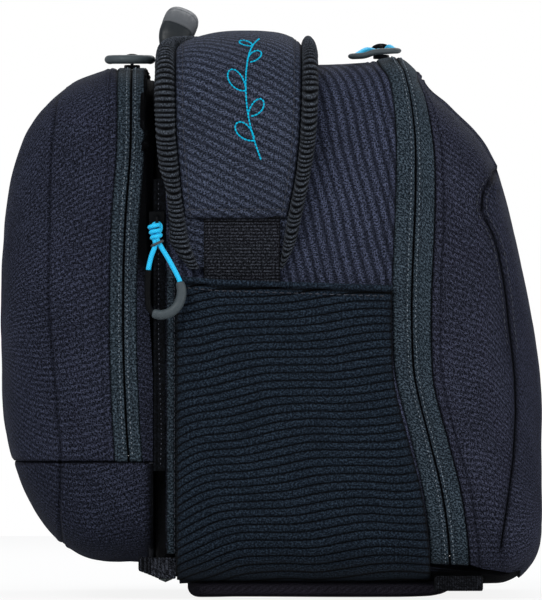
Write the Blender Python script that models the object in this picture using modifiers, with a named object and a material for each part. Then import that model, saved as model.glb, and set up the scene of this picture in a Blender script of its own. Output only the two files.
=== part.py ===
"""Bike front bag with a rear compartment, a front cover, side pockets, a strap and a carrier frame.

Metres, +Z up. X runs from the rear compartment (-X) to the front cover (+X), Y from side to side.
The origin lies under the middle of the bag, on the surface that it stands on.
"""

import math

import bmesh
import bpy
from mathutils import Matrix, Vector

# Clearances
GAP = 0.0003
REACH = 0.35
PAST_REAR = 0.010

# Main bag
BAG_HALF_WIDTH = 0.185
MAIN_REAR_X = -0.0525
MAIN_TOP_Z = 0.268
MAIN_BOTTOM_Z = 0.0065
SIDE_POWER = 8.0
RING_POINTS = 36
WALL = 0.003
PANEL_SEAM_Y = BAG_HALF_WIDTH - 0.025
PANEL_SEAM_Z = (MAIN_TOP_Z + MAIN_BOTTOM_Z) / 2
FLAT_TOP_END_X = 0.035
SHOULDER_X = 0.064
SHOULDER_RISE = 0.0035
FRONT_EDGE = (0.080, MAIN_TOP_Z - 0.013)
FRONT_SLOPE_END = (0.107, MAIN_TOP_Z - 0.042)
FRONT_KNEE = (0.1165, MAIN_TOP_Z - 0.068)
FRONT_BELLY = (0.1282, 0.149)
FRONT_END = (0.1348, 0.098)
TOE_RADIUS = 0.019
FRONT_ROUND_START_X = 0.095
FRONT_ROUND_INSET = 0.024

# Front zip, as it runs down the side, and its tape
FRONT_ZIP = (
    (0.046, MAIN_TOP_Z + 0.010),
    (0.056, MAIN_TOP_Z + 0.0025),
    (0.0665, MAIN_TOP_Z - 0.006),
    (0.072, MAIN_TOP_Z - 0.023),
    (0.0725, MAIN_TOP_Z - 0.043),
    (0.0705, 0.155),
    (0.072, 0.110),
    (0.0795, 0.0785),
    (0.0885, 0.0325),
    (0.090, 0.014),
)
FRONT_TAPE_HALF = 0.0098
FRONT_FLOOR_RIM_Z = 0.0157
FRONT_HINGE_X = 0.1237

# Rear compartment
REAR_FRONT_X = -0.059
REAR_ARC_X = -0.0805
REAR_DEPTH = 0.0543
REAR_TOP_CENTRE_Z = MAIN_TOP_Z - 0.103
REAR_TOP_RADIUS = 0.101
REAR_BOTTOM_CENTRE_Z = 0.1045
REAR_BOTTOM_RADIUS = 0.0865
REAR_ROUND_INSET = 0.040
REAR_POWER = 2.2
REAR_TURNS = (0, 18, 36, 52, 66, 78, 90)
REAR_SEAM_Z = 0.0685
REAR_ZIP = (
    (-0.0700, MAIN_TOP_Z + 0.022),
    (-0.0700, MAIN_TOP_Z - 0.006),
    (-0.0705, MAIN_TOP_Z - 0.043),
    (-0.0740, 0.170),
    (-0.0735, 0.125),
    (-0.0705, 0.060),
)
REAR_TAPE_HALF = 0.0070

# Zip tape thickness and how far it lies below the cloth
TAPE_SINK = 0.0006
TAPE_THICKNESS = 0.0013

# Gap zip between the rear compartment and the main bag
GAP_ZIP_X = -0.0570
GAP_ZIP_LOW_Z = 0.064
GAP_ZIP_HIGH_Z = 0.210
GAP_SLIDER_Z = 0.188

# Carrier frame
FRAME_X = -0.0530
FRAME_TUBE_RADIUS = 0.00475
FRAME_LOW_Z = 0.0125
FRAME_TOP_DROP = 0.0135
FRAME_HIGH_Z = MAIN_TOP_Z - FRAME_TOP_DROP
FRAME_SIDE_ROOM = 0.015
FRAME_HALF_WIDTH = BAG_HALF_WIDTH - FRAME_SIDE_ROOM
FRAME_CORNER_RADIUS = 0.030
CROSSBAR_RADIUS = 0.0035
CROSSBAR_Z = (0.118, 0.134)
BLOCK_HALF_WIDTH = 0.030
BLOCK_LOW_Z = 0.048
BLOCK_HIGH_Z = 0.142
BLOCK_THICKNESS = 0.0094
SOCKET_TOP_HALF_WIDTH = 0.016
SOCKET_FOOT_HALF_WIDTH = 0.022
SOCKET_HIGH_Z = 0.104
SOCKET_DEPTH = 0.0060
BACK_PANEL_THICKNESS = 0.003
FRAME_NOTCH_TOP_Z = 0.022

# Carry handle
PIVOT_RISE = 0.006
PIVOT_Z = MAIN_TOP_Z + PIVOT_RISE
GRIP_LEAN = math.radians(23)
GRIP_RISE = 0.0190
GRIP_HALF_LENGTH = 0.046
GRIP_HALF_WIDTH = 0.0085
GRIP_HALF_HEIGHT = 0.0065
GRIP_ARCH = 0.0015
GRIP_STATIONS = ((-1.0, 0.78), (-0.93, 1.0), (-0.6, 1.0), (0.0, 1.0), (0.6, 1.0), (0.93, 1.0), (1.0, 0.78))
GRIP_POWER = 2.6
HANDLE_EYE_Y = 0.0627
HANDLE_EYE_RADIUS = 0.0050
HANDLE_EYE_WIDTH = 0.0060
LUG_WIDTH = 0.0120
LUG_THICKNESS = 0.0093
PIN_RADIUS = 0.0022
PIN_HEAD_RADIUS = 0.0034
PIN_HEAD_LENGTH = 0.0015

# Dark end of the handle: distance from the grip's end, rise above the pivot, half width and half height
HANDLE_END_STATIONS = (
    (0.0000, 0.0175, 0.0066, 0.0048),
    (0.0060, 0.0170, 0.0062, 0.0044),
    (0.0119, 0.0140, 0.0056, 0.0036),
    (0.0156, 0.0090, 0.0048, 0.0030),
    (0.0164, 0.0030, 0.0042, 0.0028),
)

# Base
BASE_REAR_X = -0.042
BASE_FRONT_X = 0.091
BASE_SIDE_ROOM = 0.043
BASE_HALF_WIDTH = BAG_HALF_WIDTH - BASE_SIDE_ROOM
BASE_EDGE = 0.0045
INNER_BOARD_THICKNESS = 0.002
INNER_BOARD_HALF_WIDTH = BASE_HALF_WIDTH - 0.004

# Side pocket
POCKET_REAR_X = -0.0473
POCKET_TOP_REAR_Z = 0.1605
POCKET_TOP_FRONT_Z = 0.1550
POCKET_BOTTOM_Z = 0.0068
POCKET_DEPTH = 0.0048
POCKET_CLOTH = 0.0015
BINDING_WIDTH = 0.005
HEM_HEIGHT = 0.008
HEM_THICKNESS = 0.0011

# Shoulder strap
STRAP_X = -0.0145
WEBBING_HALF_WIDTH = 0.019
WEBBING_THICKNESS = 0.0020
PAD_END_Z = 0.190
PAD_BACK_END_Z = 0.166
PAD_BACK_LIFT = 0.0006
PAD_FRONT_LIFT = 0.0075
CORNER_TURNS = (7, 16, 28, 42, 56, 69, 79)

# Back layer of the strap's pad, up the side: height, lowest and highest x, and outer distance from the bag
PAD_BACK_SIDE = (
    (PAD_BACK_END_Z, -0.0385, 0.0045, 0.0032),
    (0.178, -0.0500, 0.0125, 0.0036),
    (0.190, -0.0520, 0.0155, 0.0038),
    (0.200, -0.0526, 0.0175, 0.0044),
    (0.213, -0.0560, 0.0195, 0.0056),
    (0.228, -0.0580, 0.0225, 0.0072),
)
PAD_BACK_CORNER = (-0.0585, 0.0240, 0.0072)
# The same along the top, by distance from the middle
PAD_BACK_TOP = (
    (0.112, -0.0460, 0.0220, 0.0072),
    (0.085, -0.0415, 0.0220, 0.0072),
    (0.000, -0.0415, 0.0220, 0.0072),
)

# Front layer of the pad, with its inner distance from the bag ahead of the outer one
PAD_FRONT_SIDE = (
    (PAD_END_Z, -0.0430, 0.0080, 0.0041, 0.0085),
    (0.198, -0.0450, 0.0115, 0.0047, 0.0112),
    (0.215, -0.0470, 0.0140, 0.0063, 0.0138),
    (0.228, -0.0480, 0.0150, PAD_FRONT_LIFT, 0.0150),
)
PAD_FRONT_CORNER = (-0.0480, 0.0155, PAD_FRONT_LIFT, 0.0158)
PAD_FRONT_TOP = (
    (0.112, -0.0400, 0.0150, PAD_FRONT_LIFT, 0.0155),
    (0.085, -0.0350, 0.0160, PAD_FRONT_LIFT, 0.0150),
    (0.000, -0.0350, 0.0160, PAD_FRONT_LIFT, 0.0150),
)

# Webbing of the strap: height, and distance from the bag
WEBBING_STATIONS = (
    (PAD_END_Z - GAP, 0.0042),
    (0.168, 0.0042),
    (0.159, 0.0010),
    (0.130, 0.0010),
    (0.105, 0.0010),
)

# Webbing tabs
END_TAB_LENGTH = 0.0245
END_TAB_WIDTH = 0.016
END_TAB_THICKNESS = 0.0072
END_TAB_X = 0.09375
END_TAB_Y = BAG_HALF_WIDTH - 0.020
END_TAB_Z = 0.0076
CORNER_TAB_LEFT_X = -0.0665
CORNER_TAB_LOW_Z = 0.0100
CORNER_TAB_HIGH_Z = 0.0205
CORNER_TAB_Y = FRAME_HALF_WIDTH + 0.0015
CORNER_TAB_THICKNESS = 0.003

# Sliders and pullers
SLIDER_LENGTH = 0.0115
SLIDER_WIDTH = 0.0080
SLIDER_HEIGHT = 0.0022
SLIDER_SHOULDER = 0.35
SLIDER_WAIST = 0.72
BRIDGE_RADIUS = 0.0035
BRIDGE_WIRE = 0.0008
BRIDGE_POWER = 3.0
CORD_RADIUS = 0.00125
CORD_DROP = 0.00325
CORD_SPREAD = 0.55
CORD_LEVEL = 0.15
CORD_PINCH = 0.7
CORD_ARC = 0.25
SLEEVE_RADIUS = 0.0024
TOP_SLIDER_Y = 0.075 - BAG_HALF_WIDTH

# Pull cord and its sleeve: across the zip, along it, and out from the bag, from the middle of the bridge
HANGING_SLEEVE = (
    (0.0110, -0.0300, 0.0062),
    (0.0132, -0.0355, 0.0070),
    (0.0120, -0.0410, 0.0074),
    (0.0085, -0.0448, 0.0076),
    (0.0040, -0.0470, 0.0076),
    (0.0000, -0.0458, 0.0074),
    (-0.0030, -0.0425, 0.0070),
    (-0.0045, -0.0370, 0.0062),
    (-0.0048, -0.0310, 0.0050),
)
LYING_SLEEVE = (
    (0.0080, -0.0290, 0.0),
    (0.0090, -0.0350, 0.0),
    (0.0078, -0.0410, 0.0),
    (0.0042, -0.0450, 0.0),
    (0.0000, -0.0462, 0.0),
    (-0.0042, -0.0450, 0.0),
    (-0.0078, -0.0410, 0.0),
    (-0.0090, -0.0350, 0.0),
    (-0.0080, -0.0290, 0.0),
)

FINISHES = {
    "cloth": ((0.035, 0.035, 0.050), 0.90, 0.0),
    "ribbed_cloth": ((0.020, 0.032, 0.044), 0.90, 0.0),
    "zip_tape": ((0.030, 0.045, 0.052), 0.85, 0.0),
    "webbing": ((0.026, 0.026, 0.030), 0.85, 0.0),
    "mesh_cloth": ((0.024, 0.028, 0.031), 0.90, 0.0),
    "board": ((0.030, 0.030, 0.032), 0.60, 0.0),
    "frame_metal": ((0.12, 0.13, 0.13), 0.45, 0.9),
    "dark_plastic": ((0.030, 0.035, 0.038), 0.50, 0.0),
    "grey_rubber": ((0.11, 0.115, 0.12), 0.60, 0.0),
    "steel": ((0.45, 0.46, 0.47), 0.35, 1.0),
    "cord": ((0.0, 0.50, 0.80), 0.70, 0.0),
}


def clear_scene():
    for old in list(bpy.data.objects):
        bpy.data.objects.remove(old, do_unlink=True)


def new_collection(name):
    made = bpy.data.collections.new(name)
    bpy.context.scene.collection.children.link(made)
    return made


clear_scene()
BAG = new_collection("bike_front_bag")
CUTTERS = new_collection("cutters")


def own_material(name, finish):
    colour, roughness, metallic = FINISHES[finish]
    made = bpy.data.materials.new(name)
    made.use_nodes = True
    made.diffuse_color = (*colour, 1.0)
    shader = made.node_tree.nodes["Principled BSDF"]
    shader.inputs["Base Color"].default_value = (*colour, 1.0)
    shader.inputs["Roughness"].default_value = roughness
    shader.inputs["Metallic"].default_value = metallic
    return made


def add_piece(name, mesh, finish):
    """A visible piece of the bag with its own material."""
    obj = bpy.data.objects.new(name, mesh)
    BAG.objects.link(obj)
    mesh.materials.append(own_material(name, finish))
    if isinstance(mesh, bpy.types.Mesh):
        mesh.shade_smooth()
        mesh.set_sharp_from_angle(angle=math.radians(35))
    return obj


def add_cutter(name, mesh):
    obj = bpy.data.objects.new(name, mesh)
    CUTTERS.objects.link(obj)
    obj.hide_render = True
    obj.display_type = "WIRE"
    return obj


def boolean(obj, cutter, operation):
    modifier = obj.modifiers.new(cutter.name, "BOOLEAN")
    modifier.operation = operation
    modifier.object = cutter
    modifier.solver = "EXACT"


def signed_power(value, exponent):
    return math.copysign(abs(value) ** exponent, value)


def rounded_ring(count, power):
    """Unit points around a rounded rectangle, as pairs that the caller scales."""
    turns = [2 * math.pi * k / count for k in range(count)]
    return [(signed_power(math.cos(t), 2 / power), signed_power(math.sin(t), 2 / power)) for t in turns]


def smooth_line(points, steps):
    """A smooth curve through the points, with each stretch cut into equal steps."""
    knots = [Vector(p) for p in points]
    first = 2 * knots[0] - knots[1]
    last = 2 * knots[-1] - knots[-2]
    ends = [first, *knots, last]
    found = []
    for a, b, c, d in zip(ends, ends[1:], ends[2:], ends[3:]):
        for k in range(steps):
            t = k / steps
            bend = (2 * a - 5 * b + 4 * c - d) * t ** 2 + (3 * b - a - 3 * c + d) * t ** 3
            found.append(0.5 * (2 * b + (c - a) * t + bend))
    return [*found, knots[-1]]


def loft_mesh(name, rings):
    """A closed surface through rings with as many points each, and flat ends."""
    shape = bmesh.new()
    rows = [[shape.verts.new(point) for point in ring] for ring in rings]
    for near, far in zip(rows, rows[1:]):
        for i in range(len(near)):
            j = (i + 1) % len(near)
            shape.faces.new((near[i], near[j], far[j], far[i]))
    shape.faces.new(rows[0])
    shape.faces.new(rows[-1])
    bmesh.ops.recalc_face_normals(shape, faces=shape.faces)
    mesh = bpy.data.meshes.new(name)
    shape.to_mesh(mesh)
    shape.free()
    return mesh


def prism_mesh(name, outline, low, high, axis="Y"):
    """A flat outline pushed from low to high along X, Y or Z."""
    placed = {"X": lambda a, b: (low, a, b), "Y": lambda a, b: (a, low, b), "Z": lambda a, b: (a, b, low)}
    step = {"X": (high - low, 0, 0), "Y": (0, high - low, 0), "Z": (0, 0, high - low)}
    shape = bmesh.new()
    face = shape.faces.new([shape.verts.new(placed[axis](a, b)) for a, b in outline])
    grown = bmesh.ops.extrude_face_region(shape, geom=[face])
    moved = [part for part in grown["geom"] if isinstance(part, bmesh.types.BMVert)]
    bmesh.ops.translate(shape, verts=moved, vec=step[axis])
    bmesh.ops.recalc_face_normals(shape, faces=shape.faces)
    mesh = bpy.data.meshes.new(name)
    shape.to_mesh(mesh)
    shape.free()
    return mesh


def box_mesh(name, low, high):
    shape = bmesh.new()
    bmesh.ops.create_cube(shape, size=1.0)
    size = Vector(high) - Vector(low)
    bmesh.ops.scale(shape, verts=shape.verts, vec=size)
    bmesh.ops.translate(shape, verts=shape.verts, vec=(Vector(high) + Vector(low)) / 2)
    mesh = bpy.data.meshes.new(name)
    shape.to_mesh(mesh)
    shape.free()
    return mesh


def rod_mesh(name, start, end, radius, sides=20):
    """A cylinder from one point to another."""
    start = Vector(start)
    end = Vector(end)
    along = end - start
    turn = along.to_track_quat("Z", "Y").to_matrix().to_4x4()
    shape = bmesh.new()
    bmesh.ops.create_cone(
        shape,
        cap_ends=True,
        segments=sides,
        radius1=radius,
        radius2=radius,
        depth=along.length,
        matrix=Matrix.Translation((start + end) / 2) @ turn,
    )
    mesh = bpy.data.meshes.new(name)
    shape.to_mesh(mesh)
    shape.free()
    return mesh


def bevel_edges(obj, width, segments):
    modifier = obj.modifiers.new("rounded_edges", "BEVEL")
    modifier.width = width
    modifier.segments = segments
    modifier.limit_method = "ANGLE"


def tube(name, points, radius, finish, closed=False):
    """A round tube along the points, as a curve with filled ends."""
    line = bpy.data.curves.new(name, "CURVE")
    line.dimensions = "3D"
    spline = line.splines.new("POLY")
    spline.points.add(len(points) - 1)
    for spot, point in zip(spline.points, points):
        spot.co = (*point, 1.0)
    spline.use_cyclic_u = closed
    line.bevel_depth = radius
    line.bevel_resolution = 2
    line.use_fill_caps = not closed
    return add_piece(name, line, finish)


def swept_mesh(name, path, side, sizes, power, count):
    """A loft along a path in a plane square to side, with half sizes along side and across it."""
    last = len(path) - 1
    unit = rounded_ring(count, power)
    rings = []
    for i, centre in enumerate(path):
        along = (path[min(i + 1, last)] - path[max(i - 1, 0)]).normalized()
        rise = along.cross(side).normalized()
        half_side, half_rise = sizes[i]
        rings.append([centre + side * (half_side * a) + rise * (half_rise * b) for a, b in unit])
    return loft_mesh(name, rings)


# Outer forms of the two bodies of the bag


MAIN_OUTLINE = (
    (MAIN_REAR_X, MAIN_TOP_Z),
    (FLAT_TOP_END_X, MAIN_TOP_Z),
    (SHOULDER_X, MAIN_TOP_Z + SHOULDER_RISE),
    FRONT_EDGE,
    FRONT_SLOPE_END,
    FRONT_KNEE,
    FRONT_BELLY,
    FRONT_END,
)


def round_off(x, start, end):
    """0 before start, growing along a quarter circle to 1 at end."""
    share = min(max((x - start) / (end - start), 0.0), 1.0)
    return 1 - math.sqrt(1 - share ** 2)


def ring_at(x, half_width, low, high):
    middle = (low + high) / 2
    half_height = (high - low) / 2
    return [(x, half_width * a, middle + half_height * b) for a, b in rounded_ring(RING_POINTS, SIDE_POWER)]


def main_form(name, offset):
    """The main bag's outer form with its front cover, grown by offset and open past its rear edge."""
    outline = smooth_line(MAIN_OUTLINE, 2)
    last = len(outline) - 1
    rings = []
    for i, point in enumerate(outline):
        along = (outline[min(i + 1, last)] - outline[max(i - 1, 0)]).normalized()
        x = point.x - along.y * offset
        high = point.y + along.x * offset
        toe = TOE_RADIUS * round_off(point.x, FRONT_END[0] - TOE_RADIUS, FRONT_END[0])
        inset = FRONT_ROUND_INSET * round_off(point.x, FRONT_ROUND_START_X, FRONT_END[0])
        if i == 0 and offset:
            x -= PAST_REAR
        rings.append(ring_at(x, BAG_HALF_WIDTH - inset + offset, MAIN_BOTTOM_Z + toe - offset, high))
    return loft_mesh(name, rings)


def rear_form(name, offset):
    """The rear compartment's outer form, grown by offset all round."""
    rings = [rear_ring(REAR_FRONT_X + offset, 1.0, offset)]
    for degrees in REAR_TURNS:
        turn = math.radians(degrees)
        depth = math.sin(turn) ** (2 / REAR_POWER)
        height = max(math.cos(turn), 0.0) ** (2 / REAR_POWER)
        rings.append(rear_ring(REAR_ARC_X - (REAR_DEPTH + offset) * depth, height, offset))
    return loft_mesh(name, rings)


def rear_ring(x, height, offset):
    high = REAR_TOP_CENTRE_Z + (REAR_TOP_RADIUS + offset) * height
    low = REAR_BOTTOM_CENTRE_Z - (REAR_BOTTOM_RADIUS + offset) * height
    half_width = BAG_HALF_WIDTH - REAR_ROUND_INSET * (1 - height) + offset
    return ring_at(x, half_width, low, high)


# Zip lines in the side view, and the regions that they bound


FRONT_LINE = smooth_line(FRONT_ZIP, 2)
REAR_LINE = smooth_line(REAR_ZIP, 2)


def line_x(line, z):
    """Where the zip line is at a height; its lowest point's x below its end."""
    for upper, lower in zip(line, line[1:]):
        if upper.y >= z >= lower.y:
            return upper.x + (lower.x - upper.x) * (upper.y - z) / (upper.y - lower.y)
    return line[-1].x


def height_at(outline, x):
    """How high an outline that runs along x is at that x."""
    for start, end in zip(outline, outline[1:]):
        if start.x <= x <= end.x:
            return start.y + (end.y - start.y) * (x - start.x) / (end.x - start.x)
    return outline[-1].y


def finely(line, steps=20):
    """Points close together along a line of straight stretches."""
    for start, end in zip(line, line[1:]):
        for k in range(steps):
            yield start.lerp(end, k / steps)


def beside(line, shift, low, high):
    """Points at a distance beside the zip line, from high down to low."""
    inner = [point for point in line if low < point.y < high]
    heights = [high, *(point.y for point in inner), low]
    return [(line_x(line, z) + shift, z) for z in heights]


def strip(line, start, end, low, high):
    """A strip beside the zip line, between two distances from it."""
    return beside(line, start, low, high) + beside(line, end, low, high)[::-1]


def shell_piece(name, form, region, inner, finish):
    """What a region keeps of a form, hollowed by the inner form."""
    obj = add_piece(name, form, finish)
    boolean(obj, add_cutter(name + "_region", region), "INTERSECT")
    boolean(obj, inner, "DIFFERENCE")
    return obj


def region_mesh(name, outline):
    return prism_mesh(name, outline, -REACH, REACH)


# Main bag


def main_bag():
    """Sewn panels of the main bag, which leave it open at its rear edge and along the front zip."""
    rim = FRONT_FLOOR_RIM_Z
    line_top = FRONT_LINE[0].y
    rear_edge = beside(FRONT_LINE, -FRONT_TAPE_HALF - GAP, rim, line_top)
    hinge_edge = [(FRONT_HINGE_X, rim), (FRONT_HINGE_X, -REACH)]
    region = [*rear_edge, *hinge_edge, (-REACH, -REACH), (-REACH, line_top)]
    kept = add_cutter("main_region", region_mesh("main", region))
    notch = box_mesh("frame_notch", (-REACH, -REACH, -REACH), (FRAME_NOTCH_X, REACH, FRAME_NOTCH_TOP_Z))
    notch = add_cutter("frame_notch", notch)
    inner_y = PANEL_SEAM_Y - GAP / 2
    outer_y = PANEL_SEAM_Y + GAP / 2
    low_z = PANEL_SEAM_Z - GAP / 2
    high_z = PANEL_SEAM_Z + GAP / 2
    panels = (
        ("main_top_panel", (-REACH, -inner_y, high_z), (REACH, inner_y, REACH)),
        ("main_bottom_panel", (-REACH, -inner_y, -REACH), (REACH, inner_y, low_z)),
        ("main_side_panel_near", (-REACH, -REACH, -REACH), (REACH, -outer_y, REACH)),
        ("main_side_panel_far", (-REACH, outer_y, -REACH), (REACH, REACH, REACH)),
    )
    for name, low, high in panels:
        panel = shell_piece(name, main_form(name, 0), box_mesh(name, low, high), MAIN_INNER, "cloth")
        boolean(panel, kept, "INTERSECT")
        boolean(panel, notch, "DIFFERENCE")
    for side, sign in SIDES:
        low, high = sorted((sign * (LUG_Y - LUG_WIDTH), sign * (LUG_Y + LUG_WIDTH)))
        slot = box_mesh("lug_slot_" + side, (-REACH, low, FRAME_HIGH_Z), (LUG_SLOT_X, high, REACH))
        boolean(BAG.objects["main_top_panel"], add_cutter("lug_slot_" + side, slot), "DIFFERENCE")


def inside_main(name, low, high, finish):
    """A stiff panel or board that fills the inside of the main bag between two corners."""
    obj = add_piece(name, main_form(name, -WALL - GAP), finish)
    boolean(obj, add_cutter(name + "_region", box_mesh(name, low, high)), "INTERSECT")
    return obj


def panels():
    rear_x = FRAME_X + FRAME_TUBE_RADIUS + GAP
    inside_main(
        "back_panel",
        (rear_x, -REACH, MAIN_BOTTOM_Z + WALL),
        (rear_x + BACK_PANEL_THICKNESS, REACH, REACH),
        "board",
    )
    board_rear_x = rear_x + BACK_PANEL_THICKNESS + GAP
    board_front_x = line_x(FRONT_LINE, FRONT_FLOOR_RIM_Z) - FRONT_TAPE_HALF
    board_top_z = MAIN_BOTTOM_Z + WALL + GAP + INNER_BOARD_THICKNESS
    inside_main(
        "inner_base_board",
        (board_rear_x, -INNER_BOARD_HALF_WIDTH, -REACH),
        (board_front_x, INNER_BOARD_HALF_WIDTH, board_top_z),
        "board",
    )
    low = (BASE_REAR_X, -BASE_HALF_WIDTH, 0.0)
    high = (BASE_FRONT_X, BASE_HALF_WIDTH, MAIN_BOTTOM_Z - GAP)
    base = add_piece("base_board", box_mesh("base_board", low, high), "board")
    bevel_edges(base, BASE_EDGE, 3)


def zip_tape(name, form, low_form, line, start, end, low):
    """One half of a zip's tape, a thin strip just below the cloth on both sides and the top."""
    region = region_mesh(name, strip(line, start, end, low, line[0].y))
    shell_piece(name, form(name, -TAPE_SINK), region, low_form, "zip_tape")


def front_cover():
    rim = FRONT_FLOOR_RIM_Z + GAP
    line_top = FRONT_LINE[0].y
    hinge_x = FRONT_HINGE_X + GAP
    front_edge = beside(FRONT_LINE, FRONT_TAPE_HALF + GAP, rim, line_top)
    region = [*front_edge, (hinge_x, rim), (hinge_x, -REACH), (REACH, -REACH), (REACH, line_top)]
    form = main_form("front_cover", 0)
    shell_piece("front_cover", form, region_mesh("front", region), MAIN_INNER, "cloth")
    half_gap = GAP / 2
    zip_tape("front_zip_cover_tape", main_form, MAIN_TAPE_INNER, FRONT_LINE, half_gap, FRONT_TAPE_HALF, rim)
    zip_tape("front_zip_bag_tape", main_form, MAIN_TAPE_INNER, FRONT_LINE, -FRONT_TAPE_HALF, -half_gap, rim)


def rear_compartment():
    seam = REAR_SEAM_Z + GAP
    line_top = REAR_LINE[0].y
    half = REAR_TAPE_HALF + GAP
    cover_edge = beside(REAR_LINE, -half, seam, line_top)
    region = [*cover_edge, (-REACH, seam), (-REACH, line_top)]
    shell_piece("rear_cover", rear_form("rear_cover", 0), region_mesh("rear", region), REAR_INNER, "cloth")
    wall_edge = beside(REAR_LINE, half, seam, line_top)
    region = [*wall_edge, (0.0, seam), (0.0, line_top)]
    form = rear_form("rear_front_wall", 0)
    shell_piece("rear_front_wall", form, region_mesh("wall", region), REAR_INNER, "cloth")
    low_region = box_mesh("low", (-REACH, -REACH, -REACH), (REACH, REACH, REAR_SEAM_Z))
    shell_piece("rear_lower_panel", rear_form("rear_lower_panel", 0), low_region, REAR_INNER, "cloth")
    half_gap = GAP / 2
    zip_tape("rear_zip_cover_tape", rear_form, REAR_TAPE_INNER, REAR_LINE, -REAR_TAPE_HALF, -half_gap, seam)
    zip_tape("rear_zip_wall_tape", rear_form, REAR_TAPE_INNER, REAR_LINE, half_gap, REAR_TAPE_HALF, seam)


def side_box(name, side, sign, x, z, depth):
    """A flat strip of zip tape on the side of the bag, by its ranges of x, z and distance out."""
    near, far = sorted(sign * value for value in depth)
    mesh = box_mesh(name, (x[0], near, z[0]), (x[1], far, z[1]))
    add_piece(f"{name}_{side}", mesh, "zip_tape")


def gap_zip(side, sign):
    """Both halves of the zip that joins the rear compartment to the main bag."""
    depth = (BAG_HALF_WIDTH - GAP - TAPE_THICKNESS, BAG_HALF_WIDTH - GAP)
    heights = (GAP_ZIP_LOW_Z, GAP_ZIP_HIGH_Z)
    half_gap = GAP / 2
    bag_half = (GAP_ZIP_X + half_gap, MAIN_REAR_X - GAP)
    rear_half = (REAR_FRONT_X + GAP, GAP_ZIP_X - half_gap)
    side_box("gap_zip_bag_tape", side, sign, bag_half, heights, depth)
    side_box("gap_zip_rear_tape", side, sign, rear_half, heights, depth)


# Side pockets


def side_region(name, outline, sign):
    low, high = sorted((0.0, sign * REACH))
    return prism_mesh(name, outline, low, high)


def pocket_edge(inset, top_drop):
    """Front edge of the pocket, which follows the front zip, from its top corner down."""
    shift = -FRONT_TAPE_HALF - 2 * GAP - inset
    return beside(FRONT_LINE, shift, POCKET_BOTTOM_Z + inset, POCKET_TOP_FRONT_Z - top_drop)


def grown_piece(name, outline, sign, outer, inner, finish):
    """A layer on the side of the main bag, between two distances from its cloth."""
    obj = add_piece(name, main_form(name, outer), finish)
    boolean(obj, add_cutter(name + "_region", side_region(name, outline, sign)), "INTERSECT")
    boolean(obj, inner, "DIFFERENCE")
    return obj


def side_pocket(side, sign):
    rear_top = (POCKET_REAR_X, POCKET_TOP_REAR_Z)
    rear_bottom = (POCKET_REAR_X, POCKET_BOTTOM_Z)
    outline = [rear_top, *pocket_edge(0, 0), rear_bottom]
    outer = POCKET_DEPTH + POCKET_CLOTH
    grown_piece("pocket_panel_" + side, outline, sign, outer, POCKET_INNER, "ribbed_cloth")
    inner_rear_x = POCKET_REAR_X + BINDING_WIDTH
    inner_edge = pocket_edge(BINDING_WIDTH, GAP)
    inner_rear = [(inner_rear_x, POCKET_BOTTOM_Z + BINDING_WIDTH), (inner_rear_x, POCKET_TOP_REAR_Z - GAP)]
    binding = [*pocket_edge(0, GAP), rear_bottom, (POCKET_REAR_X, POCKET_TOP_REAR_Z - GAP)]
    binding = [*binding, *inner_rear[::-1], *inner_edge[::-1]]
    grown_piece("pocket_binding_" + side, binding, sign, POCKET_DEPTH - GAP, BAG_SKIN, "cloth")
    hem_rear = (POCKET_REAR_X, POCKET_TOP_REAR_Z - HEM_HEIGHT)
    hem_front = pocket_edge(0, 0)[0]
    hem = [rear_top, hem_front, (hem_front[0], hem_front[1] - HEM_HEIGHT), hem_rear]
    grown_piece("pocket_hem_" + side, hem, sign, outer + GAP + HEM_THICKNESS, POCKET_SKIN, "webbing")
    strip_x = (MAIN_REAR_X, POCKET_REAR_X - GAP)
    strip_z = (FRAME_NOTCH_TOP_Z + GAP, PAD_BACK_END_Z - GAP)
    lower_edge = [(x, strip_z[0]) for x in strip_x]
    upper_edge = [(x, strip_z[1]) for x in reversed(strip_x)]
    strip = lower_edge + upper_edge
    grown_piece("rear_binding_" + side, strip, sign, GAP + POCKET_CLOTH, BAG_SKIN, "zip_tape")


# Shoulder strap


SKIN_MIDDLE_Z = (MAIN_TOP_Z + MAIN_BOTTOM_Z) / 2
SKIN_HALF_HEIGHT = (MAIN_TOP_Z - MAIN_BOTTOM_Z) / 2


def turn_at_height(z):
    return math.asin(signed_power((z - SKIN_MIDDLE_Z) / SKIN_HALF_HEIGHT, SIDE_POWER / 2))


def turn_at_width(y):
    return math.acos(signed_power(-y / BAG_HALF_WIDTH, SIDE_POWER / 2))


def skin_point(turn):
    """A point of the bag's cross-section, from the near side over the top, and its outward direction."""
    across = -signed_power(math.cos(turn), 2 / SIDE_POWER)
    upward = signed_power(math.sin(turn), 2 / SIDE_POWER)
    point = Vector((0, BAG_HALF_WIDTH * across, SKIN_MIDDLE_Z + SKIN_HALF_HEIGHT * upward))
    outward = Vector((
        0,
        signed_power(across, SIDE_POWER - 1) / BAG_HALF_WIDTH,
        signed_power(upward, SIDE_POWER - 1) / SKIN_HALF_HEIGHT,
    ))
    return point, outward.normalized()


def strap_layer(name, stations, power, count, finish):
    """A band over the bag's skin; each station is turn, lowest and highest x, and inner and outer lift."""
    unit = rounded_ring(count, power) if power else [(-1, -1), (1, -1), (1, 1), (-1, 1)]
    rings = []
    for turn, low_x, high_x, inner, outer in stations:
        point, outward = skin_point(turn)
        centre = point + outward * (inner + outer) / 2
        centre.x = (low_x + high_x) / 2
        across = Vector((high_x - low_x, 0, 0)) / 2
        rings.append([centre + across * a + outward * ((outer - inner) / 2 * b) for a, b in unit])
    return add_piece(name, loft_mesh(name, rings), finish)


def both_ways(stations):
    """Stations from the near end to the middle of the top, then their mirror images to the far end."""
    mirrored = [(math.pi - turn, *rest) for turn, *rest in stations if turn < math.pi / 2 - 0.001]
    return [*stations, *mirrored[::-1]]


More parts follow.
